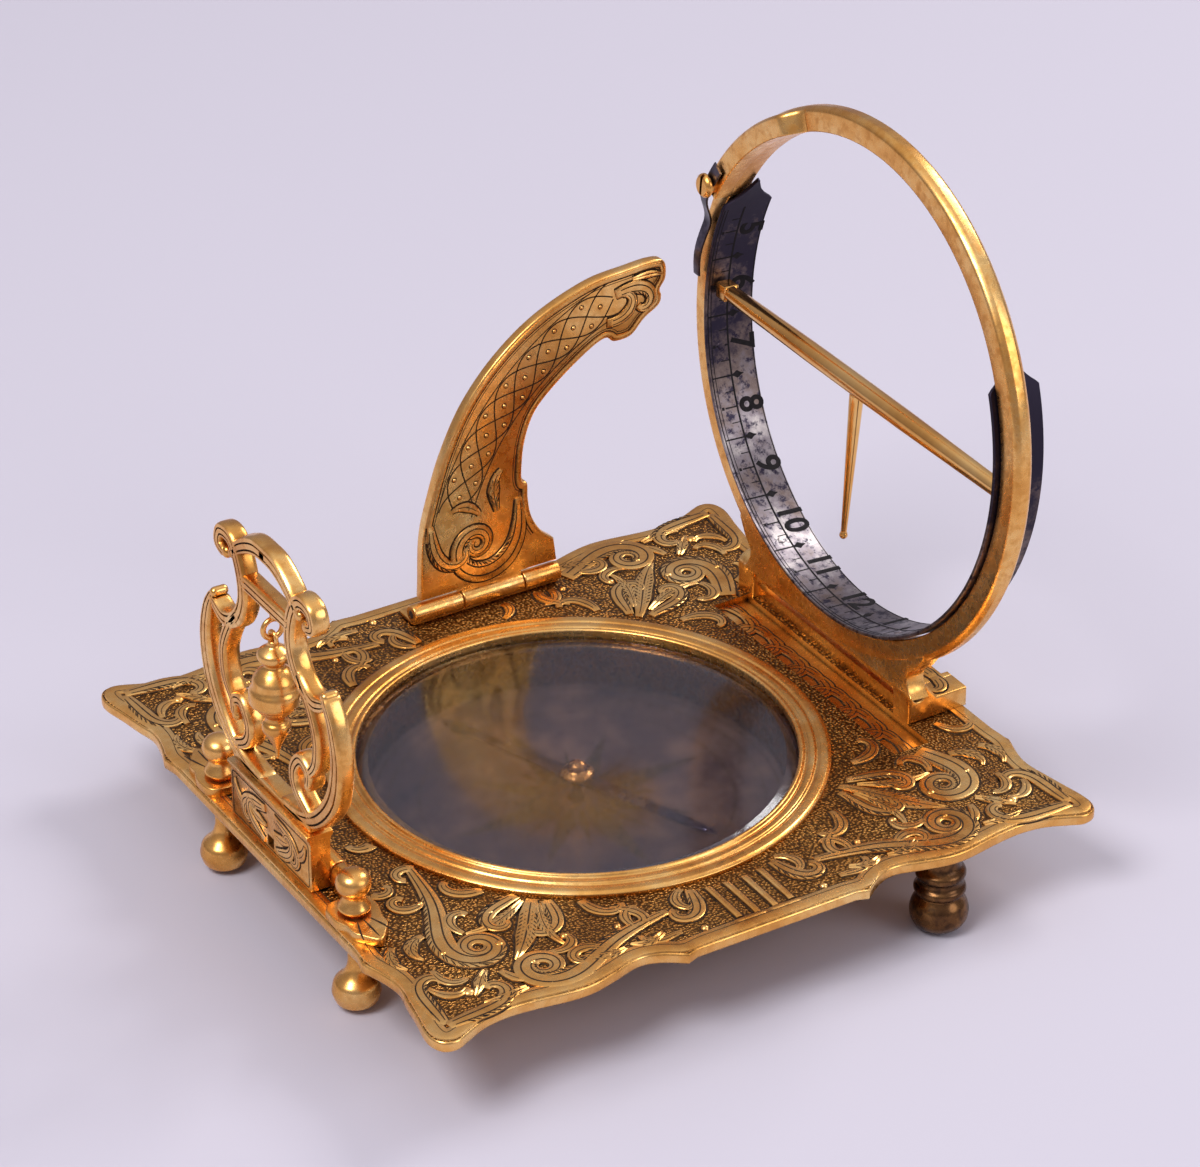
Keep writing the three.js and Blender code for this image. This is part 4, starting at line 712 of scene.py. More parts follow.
def rosePoint(number):  # one ray of the rose as a low pitched leaf
    outer, width = rose["rays"][number % 4]
    a = number * pi / 8
    reach = np.linspace(rose["inner"], outer, 12)[:, None]
    taper = width * np.array([0.15, 1, 0.62, 0.28, 0.04])
    return reliefGrid(reach * [np.cos(a), np.sin(a)], taper, rose["rayHeight"], "plain", onCard, rose["sink"])


roseStrokes = [rosePoint(number) for number in range(16)]
for radius, width in rose["rings"]:
    roseStrokes.append(closedRelief(circle(radius, 160), width, rose["lineHeight"], "plain", onCard, rose["sink"]))
for k in range(rose["marks"]):
    a = k * 2 * pi / rose["marks"]
    reach = np.linspace(rose["longMarkInner"] if k % 6 == 0 else rose["markInner"], rose["markOuter"], 4)[:, None]
    roseStrokes.append(reliefGrid(reach * [np.cos(a), np.sin(a)], rose["markWidth"], rose["lineHeight"], "plain",
                                  onCard, rose["sink"]))
makePiece("compass_rose", roseStrokes, roseInk, "base")

boxProfile = roundedProfile([[0, 2.3], [21.2, 2.3], [22.1, 3.2], [22.1, 7.3], [26.05, 7.4], [26.05, 8.2], [21.2, 8.2],
                             [21.2, 3.2], [0, 3.2]], steps=4, radius=0.3)
makePiece("compass_bowl", [turned(boxProfile, 160, atCompass)], boxBrass, "base", ("compass_box",))
boxScrew = {"slotHalf": 0.18, "slotReach": 1.6, "slotFrom": 6.0, "slotTo": 6.9}
boxScrewHead = roundedProfile([[0, 6.62], [1.15, 6.62], [1.48, 6.95], [1.48, 7.18], [0.88, 7.18], [0.88, 8.1],
                               [0, 8.1]])
for number in (1, 2, 3):
    low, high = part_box(f"box_screw_{number}")
    x, y, _ = (np.array(low) + np.array(high)) / 2 / mm
    screw = makePiece(f"bowl_screw_{number}", [turned(boxScrewHead, 40, (x, y, 0))], gilt, "base",
                      (f"box_screw_{number}",))
    reach, half = boxScrew["slotReach"], boxScrew["slotHalf"]
    carve(screw, ((x - reach, y - half, boxScrew["slotFrom"]), (x + reach, y + half, boxScrew["slotTo"])))
pivotProfile = roundedProfile([[0, 3.42], [0.68, 3.42], [0.68, 4.0], [0.45, 4.65], [0.16, 6.46], [0, 6.46]],
                              radius=0.15)
makePiece("pivot_pin", [turned(pivotProfile, 32, atCompass)], pinSteel, "base", ("compass_pivot",))

# The needle is a low pitched stroke, wide at its middle, with an arrow's head at its north end.
t = np.linspace(-1, 1, 60)
needleWidth = 2 * np.interp(t, [-1, -0.9, -0.12, -0.05, 0.05, 0.12, 0.72, 0.86, 1],
                            [0, 0.5, 1.0, 1.25, 1.25, 1.0, 0.5, 1.1, 0.0])
heading = np.radians(compass["needleHeading"])
needleLine = t[:, None] * compass["needleLength"] / 2 * np.array([np.cos(heading), np.sin(heading)])
needle = reliefGrid(needleLine, needleWidth, compass["needleThickness"], "plain",
                    onTop(compass["needleZ"], compass["x"]), sink=0.0)
makePiece("needle", [needle], bluedSteel, "needle", ("compass_needle",))
capProfile = roundedProfile([[0, 6.62], [1.68, 6.62], [1.68, 6.9], [1.05, 7.25], [0.85, 7.8], [0.35, 8.08], [0, 8.08]],
                            radius=0.2)
makePiece("cap", [turned(capProfile, 40, atCompass)], gilt, "needle", ("needle_cap",))
print("compass made")


foot = {"x": 20.4, "y": 31.2, "radius": 2.9, "height": 8.38}
footShares = np.array([[0, 0], [0.52, 0], [0.82, 0.05], [0.97, 0.14], [1, 0.24], [0.94, 0.34], [0.78, 0.42],
                       [0.72, 0.46], [0.88, 0.5], [0.88, 0.56], [0.74, 0.6], [0.7, 0.67], [0.86, 0.71], [0.86, 0.78],
                       [0.66, 0.83], [0.6, 0.9], [0.6, 1], [0, 1]])
footProfile = roundedProfile(footShares * [foot["radius"], foot["height"]], steps=5, radius=0.3)
# the rear feet take the darker gilt, which is painted shade
for name, side in (("left", 1), ("right", -1)):
    makePiece(f"foot_{name}", [turned(footProfile, 64, (foot["x"], side * foot["y"], 0))], giltShaded, "base",
              (f"rear_foot_{name}",))

levelling = {"x": -33.6, "y": 13.4, "footRadius": 2.4, "footHeight": 4.08, "neck": 0.76, "neckTop": 4.9, "stem": 0.78,
             "stemTop": 7.6, "knobRadius": 1.73, "knobBase": 10.9, "knobHeight": 4.17, "bossBase": 9.62,
             "bossThickness": 0.98, "bossLength": 4.4, "bossWidth": 4.6, "bossBevel": 0.16}
knobShares = np.array([[0.9, 0], [0.94, 0.06], [0.8, 0.16], [0.66, 0.28], [0.62, 0.38], [0.86, 0.48], [0.98, 0.59],
                       [1, 0.7], [0.92, 0.83], [0.66, 0.94], [0.3, 0.99], [0, 1]])
bunShares = np.array([[0, 0], [0.5, 0], [0.85, 0.12], [1, 0.38], [0.9, 0.66], [0.55, 0.86], [0.4, 1]])
leafShares = np.array([[0.52, -0.3], [0.54, 0.1], [0.44, 0.4], [0.42, 0.66], [0.3, 0.86], [0.02, 1.16], [-0.26, 0.9],
                       [-0.42, 0.66], [-0.44, 0.4], [-0.54, 0.1], [-0.52, -0.3], [-0.3, -0.5], [0.3, -0.5]])
stemPart = [[levelling["neck"], levelling["neckTop"]], [levelling["stem"], levelling["stemTop"]],
            [levelling["stem"], levelling["knobBase"]]]
screwProfile = roundedProfile(np.vstack([
    bunShares * [levelling["footRadius"], levelling["footHeight"]], stemPart,
    knobShares * [levelling["knobRadius"], levelling["knobHeight"]] + [0, levelling["knobBase"]]]), steps=5, radius=0.3)
leafLoop = spline(np.vstack([leafShares, leafShares[:1]]), 120)[:-1] * [levelling["bossLength"], levelling["bossWidth"]]
bossTop = levelling["bossBase"] + levelling["bossThickness"]
for name, side in (("left", 1), ("right", -1)):
    x, y = levelling["x"], side * levelling["y"]
    makePiece(f"levelling_{name}", [turned(screwProfile, 64, (x, y, 0))], gilt, f"{name}_screw",
              (f"levelling_screw_{name}",))
    slab(f"boss_{name}", leafLoop * side + [x, y], levelling["bossThickness"], onTop(levelling["bossBase"]), gilt,
         "base", levelling["bossBevel"], (f"screw_boss_{name}",), holes=(circle(levelling["stem"] + 0.1, 32, x, y),))
    veins = []
    for across, lean in ((0, 90), (0.7, 70), (-0.7, 110)):
        vein = bend((across, 1.9), lean, 2.9, (0, 0.1 * np.sign(across)), 12) * [1, side] + [x, y]
        veins.append(cutLine(vein, (0.1, 0.22, 0.08), onTop(bossTop + 0.01)))
    makePiece(f"boss_veins_{name}", veins, cutShade, "base", sharpAngle=80)
print("feet made")


# Ring hinge: a block with a lug at each end of the ring's barrel.
hinge = {"x": 30.4, "z": 12.6, "blockFront": 29.2, "blockBack": 36.2, "base": 9.62, "backTop": 11.8, "shoulder": 32.6,
         "lugRadius": 1.3, "lugFrontTop": 11.4, "lugWidth": 3.0, "lugBevel": 0.22, "barrelStart": -9.8,
         "barrelEnd": 15.2, "clear": 1.5, "gap": 0.2, "railStep": 0.6, "railBevel": 0.18, "pinHole": 0.66, "pin": 0.6,
         "curlX": 34.4, "curlHeight": 0.12}
lugArc = arcPoints(hinge["lugRadius"], np.linspace(0.15 * pi, pi, 12), hinge["x"], hinge["z"])
hollow = arcPoints(hinge["clear"], np.linspace(-0.18 * pi, -0.5 * pi, 10), hinge["x"], hinge["z"])
blockBack = [[hinge["blockBack"], hinge["base"]], [hinge["blockBack"], hinge["backTop"]]]
railFront = hinge["blockFront"] + hinge["railStep"]
lugOutline = np.vstack([[[hinge["blockFront"], hinge["base"]]], blockBack, [[hinge["shoulder"], hinge["backTop"]]],
                        lugArc, [[hinge["blockFront"], hinge["lugFrontTop"]]]])
railOutline = np.vstack([[[railFront, hinge["base"]]], blockBack, [[hinge["shoulder"] - 0.2, hinge["backTop"]]],
                         hollow, [[railFront, hinge["z"] - hinge["clear"]]]])
lugStart, lugEnd = hinge["barrelStart"] - hinge["lugWidth"], hinge["barrelEnd"] + hinge["lugWidth"]
pinHole = circle(hinge["pinHole"], 28, hinge["x"], hinge["z"])
for name, start in (("right", lugStart), ("left", hinge["barrelEnd"] + hinge["gap"])):
    slab(f"hinge_lug_{name}", lugOutline, hinge["lugWidth"] - hinge["gap"], alongY(start), giltPlain, "base",
         hinge["lugBevel"], holes=(pinHole,))
rail = slab("hinge_rail", railOutline, hinge["barrelEnd"] - hinge["barrelStart"] + 4 * hinge["gap"],
            alongY(hinge["barrelStart"] - 2 * hinge["gap"]), giltPlain, "base", hinge["railBevel"],
            ("ring_hinge_block",))
backNotch = ((35.1, -9.4, 11.0), (37.5, -6.6, 12.5))
carve(rail, backNotch)
railCurls = [((hinge["curlX"], y), 90 * way, 3.6, np.array([0.0, 0.3, 1.3, 2.0]) * way, (1.0, 1.3, 1.1, 0.7), "scroll")
             for y in (-9.6, -5.0, 1.0, 6.4, 11.8, 15.6) for way in (1, -1)]
makeChasing("rail", *chase(railCurls, [(1, 1)], onTop(hinge["backTop"]), hinge["curlHeight"]), "base")


def rod(radius, start, end, sides=40, tip=0.12):  # closed turned rod along Z with rounded ends
    return revolve(roundedProfile([[0, start], [radius, start], [radius, end], [0, end]], radius=tip), sides)


hingePin = moved(zToY(rod(hinge["pin"], lugStart, lugEnd)), (hinge["x"], 0, hinge["z"]))
makePiece("hinge_pin", [(hingePin, True, False)], pinSteel, "base", ("ring_hinge_pin",))
print("ring hinge made")


# Hour ring, drawn upright on its hinge axis with its front towards -x, then leaned back. Its hoop's and seat's
# sections are (radius, x); the seat is the thicker part of the hoop that carries the spring.
ring = {"lean": np.radians(3.74), "centre": 28.8, "seatBack": -2.0, "seatStart": 24.0, "seatEnd": 64.0, "seatCount": 60,
        "seatSlope": 8, "seatLow": 0.32, "footClear": 1.5, "footTop": 6.6, "footHalf": 16.4, "archRadius": 26.6,
        "footFront": -2.78, "footThickness": 2.1, "footBevel": 0.14, "barrel": 1.05}


def ringPlace(grid):  # from the ring's own frame to the model's: turned by the lean about Y, moved to the hinge
    x, y, z = grid[..., 0], grid[..., 1], grid[..., 2]
    c, s = np.cos(ring["lean"]), np.sin(ring["lean"])
    return np.stack([hinge["x"] + x * c + z * s, y, hinge["z"] - x * s + z * c], -1)


# Sections of (radius, x) at angles about the ring's centre: y = radius sin angle, z = centre + radius cos angle,
# so the angle starts at the top and grows towards +Y.
def around(radius, x, angle):
    angle = angle[:, None]
    return np.stack(np.broadcast_arrays(x, np.sin(angle) * radius, ring["centre"] + np.cos(angle) * radius), -1)


hoopSection = roundedProfile([[25.2, -0.65], [25.2, -2.8], [27.2, -2.8], [27.45, -2.62], [27.7, -2.2], [27.7, -1.2],
                              [27.45, -0.85], [27.2, -0.65]], closed=True, radius=0.16)
seatSection = roundedProfile([[25.2, -2.0], [25.2, -4.58], [27.1, -4.58], [27.38, -4.3], [27.38, -2.0]],
                             closed=True, radius=0.14)
hoop = around(*hoopSection.T, np.arange(360) * 2 * pi / 360)
rise = np.clip(np.arange(ring["seatCount"]) / ring["seatSlope"], 0, 1)  # the seat rises in a slope from the hoop
rise = ring["seatLow"] + (1 - ring["seatLow"]) * rise * rise * (3 - 2 * rise)
seatX = ring["seatBack"] + (seatSection[:, 1] - ring["seatBack"]) * rise[:, None]
seatTurn = np.radians(np.linspace(ring["seatStart"], ring["seatEnd"], ring["seatCount"]))
seat = capEnds(around(seatSection[:, 0], seatX, seatTurn))
makePiece("ring_hoop", [(ringPlace(hoop), True, True), (ringPlace(seat), False, True)], giltPlain, "ring",
          ("hour_ring",))

footSide = np.array([[1, 1], [0.93, 0.68], [0.86, 0.44], [0.88, 0.16], [0.93, 0]])
footCurve = spline(footSide, 24) * [ring["footHalf"], ring["footTop"] - ring["footClear"]] + [0, ring["footClear"]]
archHalf = np.arcsin(ring["footHalf"] / ring["archRadius"])
arch = arcPoints(ring["archRadius"], np.linspace(-1, 1, 60) * archHalf - pi / 2, 0, ring["centre"])
onRing = lambda a, b, lift: ringPlace(np.stack([ring["footFront"] + lift, a, b], -1))
slab("ring_foot", np.vstack([footCurve, footCurve[::-1] * [-1, 1], arch]), ring["footThickness"], onRing, giltPlain,
     "ring", ring["footBevel"])
barrel = zToY(rod(ring["barrel"], hinge["barrelStart"], hinge["barrelEnd"], 48, 0.15))
web = np.array([[-1.03, 0], [-1.03, 1.8], [-0.36, 1.8], [-0.36, 0]])  # (x, z), joins the foot to the barrel
webGrid = capEnds(np.stack([np.insert(web, 1, y, axis=1) for y in (hinge["barrelStart"] + 0.05, 14.3)]))
makePiece("ring_barrel", [(ringPlace(barrel), True, False), (ringPlace(webGrid), False, True)], giltPlain, "ring")
print("ring made")


# Silvered hour band with ogee ends, open above; hours are cut on its inner face. Its half width at the ends
# follows 0.5 share^0.8 + 0.5 share^3, where share grows from 0 to 1 over the end's length.
band = {"radius": 25.04, "inner": 24.66, "front": -3.33, "back": 2.38, "half": 121.8, "endLength": 3.4, "count": 300,
        "soft": 0.07, "rivetX": -1.6, "rivets": (25, 75, -25, -75), "rivetTop": 27.35, "rivetHead": 0.08}
bandTurn = np.radians(np.linspace(180 - band["half"], 180 + band["half"], band["count"]))
fromEnd = np.minimum(bandTurn - bandTurn[0], bandTurn[-1] - bandTurn) * band["inner"]
share = np.clip(fromEnd / band["endLength"], 0, 1)
opened = np.clip(0.5 * share ** 0.8 + 0.5 * share ** 3, 0.03, 1)[:, None]
low, high, soft = band["inner"], band["radius"], band["soft"]
bandSection = np.array([[-1, low + soft], [-1, high - soft], [-0.975, high], [0.975, high], [1, high - soft],
                        [1, low + soft], [0.975, low], [-0.975, low]])
bandX = (band["front"] + band["back"]) / 2 + (band["back"] - band["front"]) / 2 * opened * bandSection[:, 0]
bandGrid = around(bandSection[:, 1], bandX, bandTurn)
makePiece("silver_band", [(ringPlace(capEnds(bandGrid)), False, True)], silvered, "ring", ("hour_band",))


def onBand(along, x, lift):  # along the band in mm from noon, towards +Y; lift is towards the ring's middle
    a = pi - along / band["inner"]
    r = band["inner"] - lift
    return ringPlace(np.stack([x, np.sin(a) * r, ring["centre"] + np.cos(a) * r], -1))


def bandStroke(start, end, width, count=None):  # a straight cut on the band, about three samples a mm
    count = count or max(4, int(np.hypot(end[0] - start[0], end[1] - start[1]) / 0.35))
    return cutLine(np.linspace(start, end, count, dtype=float), width, onBand, 0.018)


# The front part carries the marks, the rear part the numerals, and one strong line parts them. Each line that
# runs round is (x, width), and so are a mark's start and width; half hours end in a slim leaf.
hourStep = np.radians(15) * band["inner"]
scale = {"front": -3.05, "middle": -0.72, "reach": 7.5 * hourStep, "last": 7, "hourStart": -2.15, "crossX": -2.42,
         "crossHalf": 0.16, "quarterStart": -1.75, "leafStart": -0.82, "leafEnd": 0.73, "size": 3.9, "figureX": 0.86}
strokes = [bandStroke((-scale["reach"], x), (scale["reach"], x), width, 160)
           for x, width in ((scale["middle"], 0.2), (scale["front"], 0.11), (scale["front"] + 0.36, 0.07), (2.2, 0.09))]
for quarter in range(-4 * scale["last"] - 1, 4 * scale["last"] + 2):
    y = quarter * hourStep / 4
    if quarter % 4 == 0:
        strokes.append(bandStroke((y, scale["hourStart"]), (y, scale["middle"]), 0.15))
        cross = [(y + aside, scale["crossX"]) for aside in (-scale["crossHalf"], scale["crossHalf"])]
        strokes.append(bandStroke(*cross, 0.3))
    elif quarter % 2 == 0:
        strokes.append(bandStroke((y, scale["front"]), (y, scale["middle"]), 0.16))
        strokes.append(bandStroke((y, scale["leafStart"]), (y, scale["leafEnd"]), (0.1, 0.34, 0.85, 0.3, 0.05), 12))
    else:
        strokes.append(bandStroke((y, scale["quarterStart"]), (y, scale["middle"]), 0.1))
makePiece("hour_lines", strokes, blackWax, "ring", sharpAngle=80)


def vertexPlaces(mesh):  # the mesh's points as rows of x, y, z
    places = np.empty(len(mesh.vertices) * 3)
    mesh.vertices.foreach_get("co", places)
    return places.reshape(-1, 3)


# entries are (text, a, b, turn in degrees) in the plane that place maps, and each text becomes a thin closed mesh
# there: its flat letters, made a mesh first, get a front and a back joined by a wall.
def numeralMesh(name, entries, size, place, low=-0.05, high=0.02, narrow=0.86, bold=0.026):
    whole = bmesh.new()
    for text, a, b, turn in entries:
        curve = bpy.data.curves.new("numeral", "FONT")
        curve.body, curve.size, curve.align_x, curve.align_y = text, size, "CENTER", "CENTER"
        curve.resolution_u, curve.offset = 4, size * bold
        maker = bpy.data.objects.new("numeral", curve)
        bpy.context.scene.collection.objects.link(maker)
        flat = bpy.data.meshes.new_from_object(maker.evaluated_get(bpy.context.evaluated_depsgraph_get()))
        c, s = np.cos(np.radians(turn)), np.sin(np.radians(turn))
        x, y, _ = vertexPlaces(flat).T
        x = x * narrow
        flat.vertices.foreach_set("co", np.stack([a + x * c - y * s, b + x * s + y * c, 0 * x], -1).ravel())
        whole.from_mesh(flat)
        bpy.data.objects.remove(maker)
        bpy.data.curves.remove(curve)
        bpy.data.meshes.remove(flat)
    bmesh.ops.solidify(whole, geom=list(whole.faces), thickness=1.0)
    mesh = bpy.data.meshes.new(name)
    whole.to_mesh(mesh)
    whole.free()
    x, y, z = vertexPlaces(mesh).T
    onFace = (z - z.min()) / np.ptp(z)
    mesh.vertices.foreach_set("co", (place(x, y, low + (high - low) * onFace) * mm).ravel())
    mesh.update()
    return mesh


hours = [(str((12 - k - 1) % 12 + 1), -k * hourStep, scale["figureX"], 0) for k in range(-7, 8)]
hourMesh = numeralMesh("hour_numerals", hours, scale["size"], lambda a, b, lift: onBand(-a, b, lift))
dressPiece("hour_numerals", hourMesh, blackWax, "ring", sharpAngle=80)

low, high = band["inner"] - band["rivetHead"], band["rivetTop"]
rivetProfile = roundedProfile([[0, low], [0.36, low], [0.44, low + 0.1], [0.44, high], [0, high]], radius=0.06)
rivets = []
for a in np.radians(band["rivets"]):
    x, y, z = np.moveaxis(revolve(rivetProfile, 24), -1, 0)
    rivet = [x + band["rivetX"], np.sin(a) * z + np.cos(a) * y, ring["centre"] - np.cos(a) * z + np.sin(a) * y]
    rivets.append((ringPlace(np.stack(rivet, -1)), True, False))
makePiece("band_rivets", rivets, silvered, "ring", tuple(f"band_rivet_{k}" for k in (1, 2, 3, 4)))
print("hour band made")


# Gnomon: a spindle across the ring with a square block near one end, and the tapered shadow pin with its bead.
gnomon = {"x": -1.6, "end": 27.35, "journal": 0.5, "middle": 1.07, "shoulder": 0.88, "bodyStart": -24.3,
          "blockY": 22.64, "block": 1.7, "swell": 8.0, "pin": 0.72, "pinEnd": -16.98, "pinTop": -0.85}
atGnomon = lambda grid: ringPlace(moved(grid, (gnomon["x"], 0, ring["centre"])))
journal, shoulder, end, bulge = gnomon["journal"], gnomon["shoulder"], gnomon["end"], gnomon["middle"] * 0.985
axle = zToY(revolve(roundedProfile([
    [0, -end], [journal, -end], [journal, gnomon["bodyStart"]], [shoulder, gnomon["bodyStart"]],
    [bulge, -gnomon["swell"]], [gnomon["middle"], 0], [bulge, gnomon["swell"]], [shoulder, gnomon["blockY"]],
    [journal, gnomon["blockY"] + 0.02], [journal, end], [0, end]]), 56))
squareSection = roundedProfile(np.array([[-1, -1], [1, -1], [1, 1], [-1, 1]]) * gnomon["block"] / 2, closed=True,
                               radius=0.22)
blockRuns = ((0.86, 0), (1, 0.14), (1, gnomon["block"] - 0.14), (0.86, gnomon["block"]))
axleBlock = np.stack([np.insert(squareSection * k, 1, gnomon["blockY"] + y, axis=1) for k, y in blockRuns])
makePiece("axle", [(atGnomon(axle), True, False), (atGnomon(capEnds(axleBlock)), False, True)], giltBright, "gnomon",
          ("gnomon_axle",))
pin = revolve(roundedProfile([[0, gnomon["pinEnd"]], [0.2, -16.96], [0.42, -16.7], [0.42, -16.45], [0.29, -16.2],
                              [0.3, -15.9], [gnomon["pin"], -1.6], [gnomon["pin"], gnomon["pinTop"]],
                              [0, gnomon["pinTop"]]]), 36)
makePiece("shadow_pin", [(atGnomon(pin), True, False)], giltBright, "gnomon", ("gnomon_pin",))

# Leaf spring: a flat strip round the ring from its screw to the axle's end. It settles from the seat's height to the
# axle's by a smooth step, with a wave on it.
spring = {"radius": 26.45, "from": 56, "turn": 32, "seatX": -4.6, "tipX": -3.1, "lift": 0.32, "wave": 0.24,
          "half": 0.75, "taper": 0.3, "screwAt": 62}
along = np.linspace(0, 1, 60)
settle = np.clip((along - 0.25) / 0.35, 0, 1)
settle = settle * settle * (3 - 2 * settle)
springX = spring["seatX"] + (spring["tipX"] - spring["seatX"]) * settle - spring["lift"]
springX = (springX - spring["wave"] * np.sin(along * pi * 3) * settle)[:, None]
springHalf = (spring["half"] * (1 - spring["taper"] * along))[:, None]
across, thick = np.array([[-1, 0], [-0.9, -0.12], [0, -0.14], [0.9, -0.12], [1, 0], [1, 0.06], [0.9, 0.1], [-0.9, 0.1],
                          [-1, 0.06]]).T
springTurn = np.radians(spring["from"] + spring["turn"] * along)
strip = around(spring["radius"] + across * springHalf, springX + thick, springTurn)
makePiece("leaf_spring", [(ringPlace(capEnds(strip)), False, True)], bluedSteel, "ring", ("gnomon_spring",))
screwTurn = np.radians(spring["screwAt"])
screwAt = np.array([0, spring["radius"] * np.sin(screwTurn), ring["centre"] + spring["radius"] * np.cos(screwTurn)])
screwHead = zToX(revolve(roundedProfile([[0, -5.88], [0.95, -5.86], [1.26, -5.55], [1.26, -5.2], [0.9, -5.1],
                                         [0.9, -4.4], [0, -4.4]], radius=0.14), 48))
springScrew = makePiece("slotted_screw", [(ringPlace(moved(screwHead, screwAt)), True, False)], gilt, "ring",
                        ("spring_screw",))
slotCentre = ringPlace(screwAt + [-5.9, 0, 0])
carve(springScrew, (slotCentre - [0.5, 0.19, 2], slotCentre + [0.42, 0.19, 2]))
print("gnomon made")


# Latitude arc: a flat leaf with an S-shaped outline on a three-knuckle hinge.
arc = {"hingeY": 29.2, "hingeZ": 10.85, "startX": -3.5, "height": 33.0, "front": 29.02, "thickness": 1.16, "foot": 1.3,
       "bevel": 0.2, "relief": 0.17, "rimIn": 0.5, "rimHeight": 0.09, "cutLift": 0.014, "trellisInner": 27.9,
       "trellisOuter": 32.0, "trellisFrom": 17.0, "trellisTo": 71.0, "trellisCells": 8, "nail": 0.22,
       "nailHeight": 0.18, "knuckle": 1.0, "plateStart": -3.5, "plateEnd": 13.9, "plateFront": 28.75,
       "plateBack": 31.86, "plateBase": 9.68, "plateThickness": 0.44, "midStart": 2.4, "midEnd": 9.5, "webBase": 10.9,
       "webTop": 12.6, "pin": 0.5, "knuckles": ((-3.48, 2.28), (9.62, 13.88)), "knuckleTip": 0.16}
arcShares = np.array([
    [0.037, 0.082], [0.045, 0.255], [0.076, 0.384], [0.124, 0.526], [0.201, 0.675], [0.3125, 0.804], [0.458, 0.91],
    [0.639, 0.98], [0.783, 0.996], [0.87, 1], [0.915, 0.985], [0.92, 0.93], [0.9, 0.895], [0.905, 0.87], [0.895, 0.84],
    [0.843, 0.807], [0.795, 0.761], [0.735, 0.756], [0.701, 0.776], [0.632, 0.744], [0.521, 0.664], [0.447, 0.589],
    [0.411, 0.495], [0.4, 0.4], [0.403, 0.359], [0.42, 0.346], [0.422, 0.293], [0.434, 0.226], [0.468, 0.163],
    [0.514, 0.121]])
arcBody = spline(arcShares, 190) * arc["height"] + [arc["startX"], arc["hingeZ"]]
arcFoot = np.array([[0.522, 0], [0.037, 0]]) * arc["height"] + [arc["startX"], arc["hingeZ"] + arc["foot"]]
slab("arc_leaf", np.vstack([arcBody, arcFoot]), arc["thickness"], alongY(arc["front"]), gilt, "arc", arc["bevel"],
     ("latitude_arc",))
onArc = lambda a, b, lift: np.stack([a, arc["front"] - lift, b], -1)
onArcBack = lambda a, b, lift: np.stack([a, arc["front"] + arc["thickness"] + lift, b], -1)


def alongArc(radius, degrees):  # a point about the ring's hinge axis, the angle counted up from -X
    a = np.radians(degrees)
    return np.stack([hinge["x"] - radius * np.cos(a), hinge["z"] + radius * np.sin(a)], -1)


# Two families of curved cuts cross the leaf's middle: along a cut the radius runs from the inner line to the outer
# as half a cosine wave while the angle runs over two cells. A nail's head stands in each cell.
rimLine = normals2d(arcBody)
arcRaised = [reliefGrid((arcBody - rimLine * arc["rimIn"])[6:-6], 0.5, arc["rimHeight"], "plain", onArc)]
arcCuts = [cutLine((arcBody - rimLine * inward)[8:-8], width, onArc) for inward, width in ((0.84, 0.13), (1.1, 0.07))]
cell = (arc["trellisTo"] - arc["trellisFrom"]) / arc["trellisCells"]
run = np.linspace(0, 1, 26)
middleRadius = (arc["trellisOuter"] + arc["trellisInner"]) / 2
halfDepth = (arc["trellisOuter"] - arc["trellisInner"]) / 2
for k in range(-1, arc["trellisCells"]):
    degrees = arc["trellisFrom"] + cell * (k + 2 * run)
    inside = (degrees >= arc["trellisFrom"]) & (degrees <= arc["trellisTo"])
    for way in (1, -1):
        cut = alongArc(middleRadius - way * halfDepth * 0.97 * np.cos(pi * run), degrees)[inside]
        arcCuts.append(cutLine(cut, 0.15, onArc, arc["cutLift"]))
for k in range(arc["trellisCells"]):
    for aside, share in ((0, 0.5), (-0.66, 1.0), (0.66, 1.0)):
        if share < 1 or k < arc["trellisCells"] - 1:
            x, y = alongArc(middleRadius + halfDepth * aside, arc["trellisFrom"] + cell * (k + share))
            arcRaised.append(dome(x, y, arc["nail"], arc["nailHeight"], onArc))
            # painted shade: a dark ring round the nail's foot
            arcCuts.append(dome(x, y, arc["nail"] * 1.5, 0.04, onArc))
trellisEnds = np.linspace(arc["trellisFrom"] - 1, arc["trellisTo"] + 1, 90)
for radius in (arc["trellisInner"] - 0.1, arc["trellisOuter"] + 0.1):
    arcCuts.append(cutLine(alongArc(radius, trellisEnds), 0.12, onArc, arc["cutLift"]))
arcScrolls = [
    ((9.2, 21.0), -90, 24.0, (0.06, -0.14, -0.26, -0.29, -0.36, -0.56, -0.85, -1.25),
     (0.8, 1.8, 2.4, 2.4, 2.0, 1.6, 1.2, 0.8), "scroll"),
    ((-1.2, 20.6), -84, 9.6, (-0.04, 0.12, 0.3, 0.7, 1.3), (0.7, 1.4, 1.5, 1.1, 0.7), "scroll"),
    ((6.6, 20.2), 98, 5.0, (0.1, -0.2, -0.6), (0.5, 1.4, 0.5), "leaf"),
    ((4.6, 20.4), 124, 3.8, (0.2, 0.4, 0.6), (0.5, 1.2, 0.4), "leaf"),
    ((20.8, 41.2), 16, 7.4, (-0.1, -0.25, -0.8, -1.5), (1.1, 1.6, 1.3, 0.7), "scroll"),
    ((19.8, 38.2), -4, 5.6, (0.15, 0.5, 1.3), (1.0, 1.3, 0.7), "scroll"),
    ((22.8, 42.4), 6, 3.8, (0.0, -0.3), (0.5, 0.9, 0.3), "leaf"),
]
scrollRaised, scrollCuts = chase(arcScrolls, [(1, 1)], onArc, arc["relief"], outline=0.3)
makeChasing("arc", arcRaised + scrollRaised, arcCuts + scrollCuts, "arc")

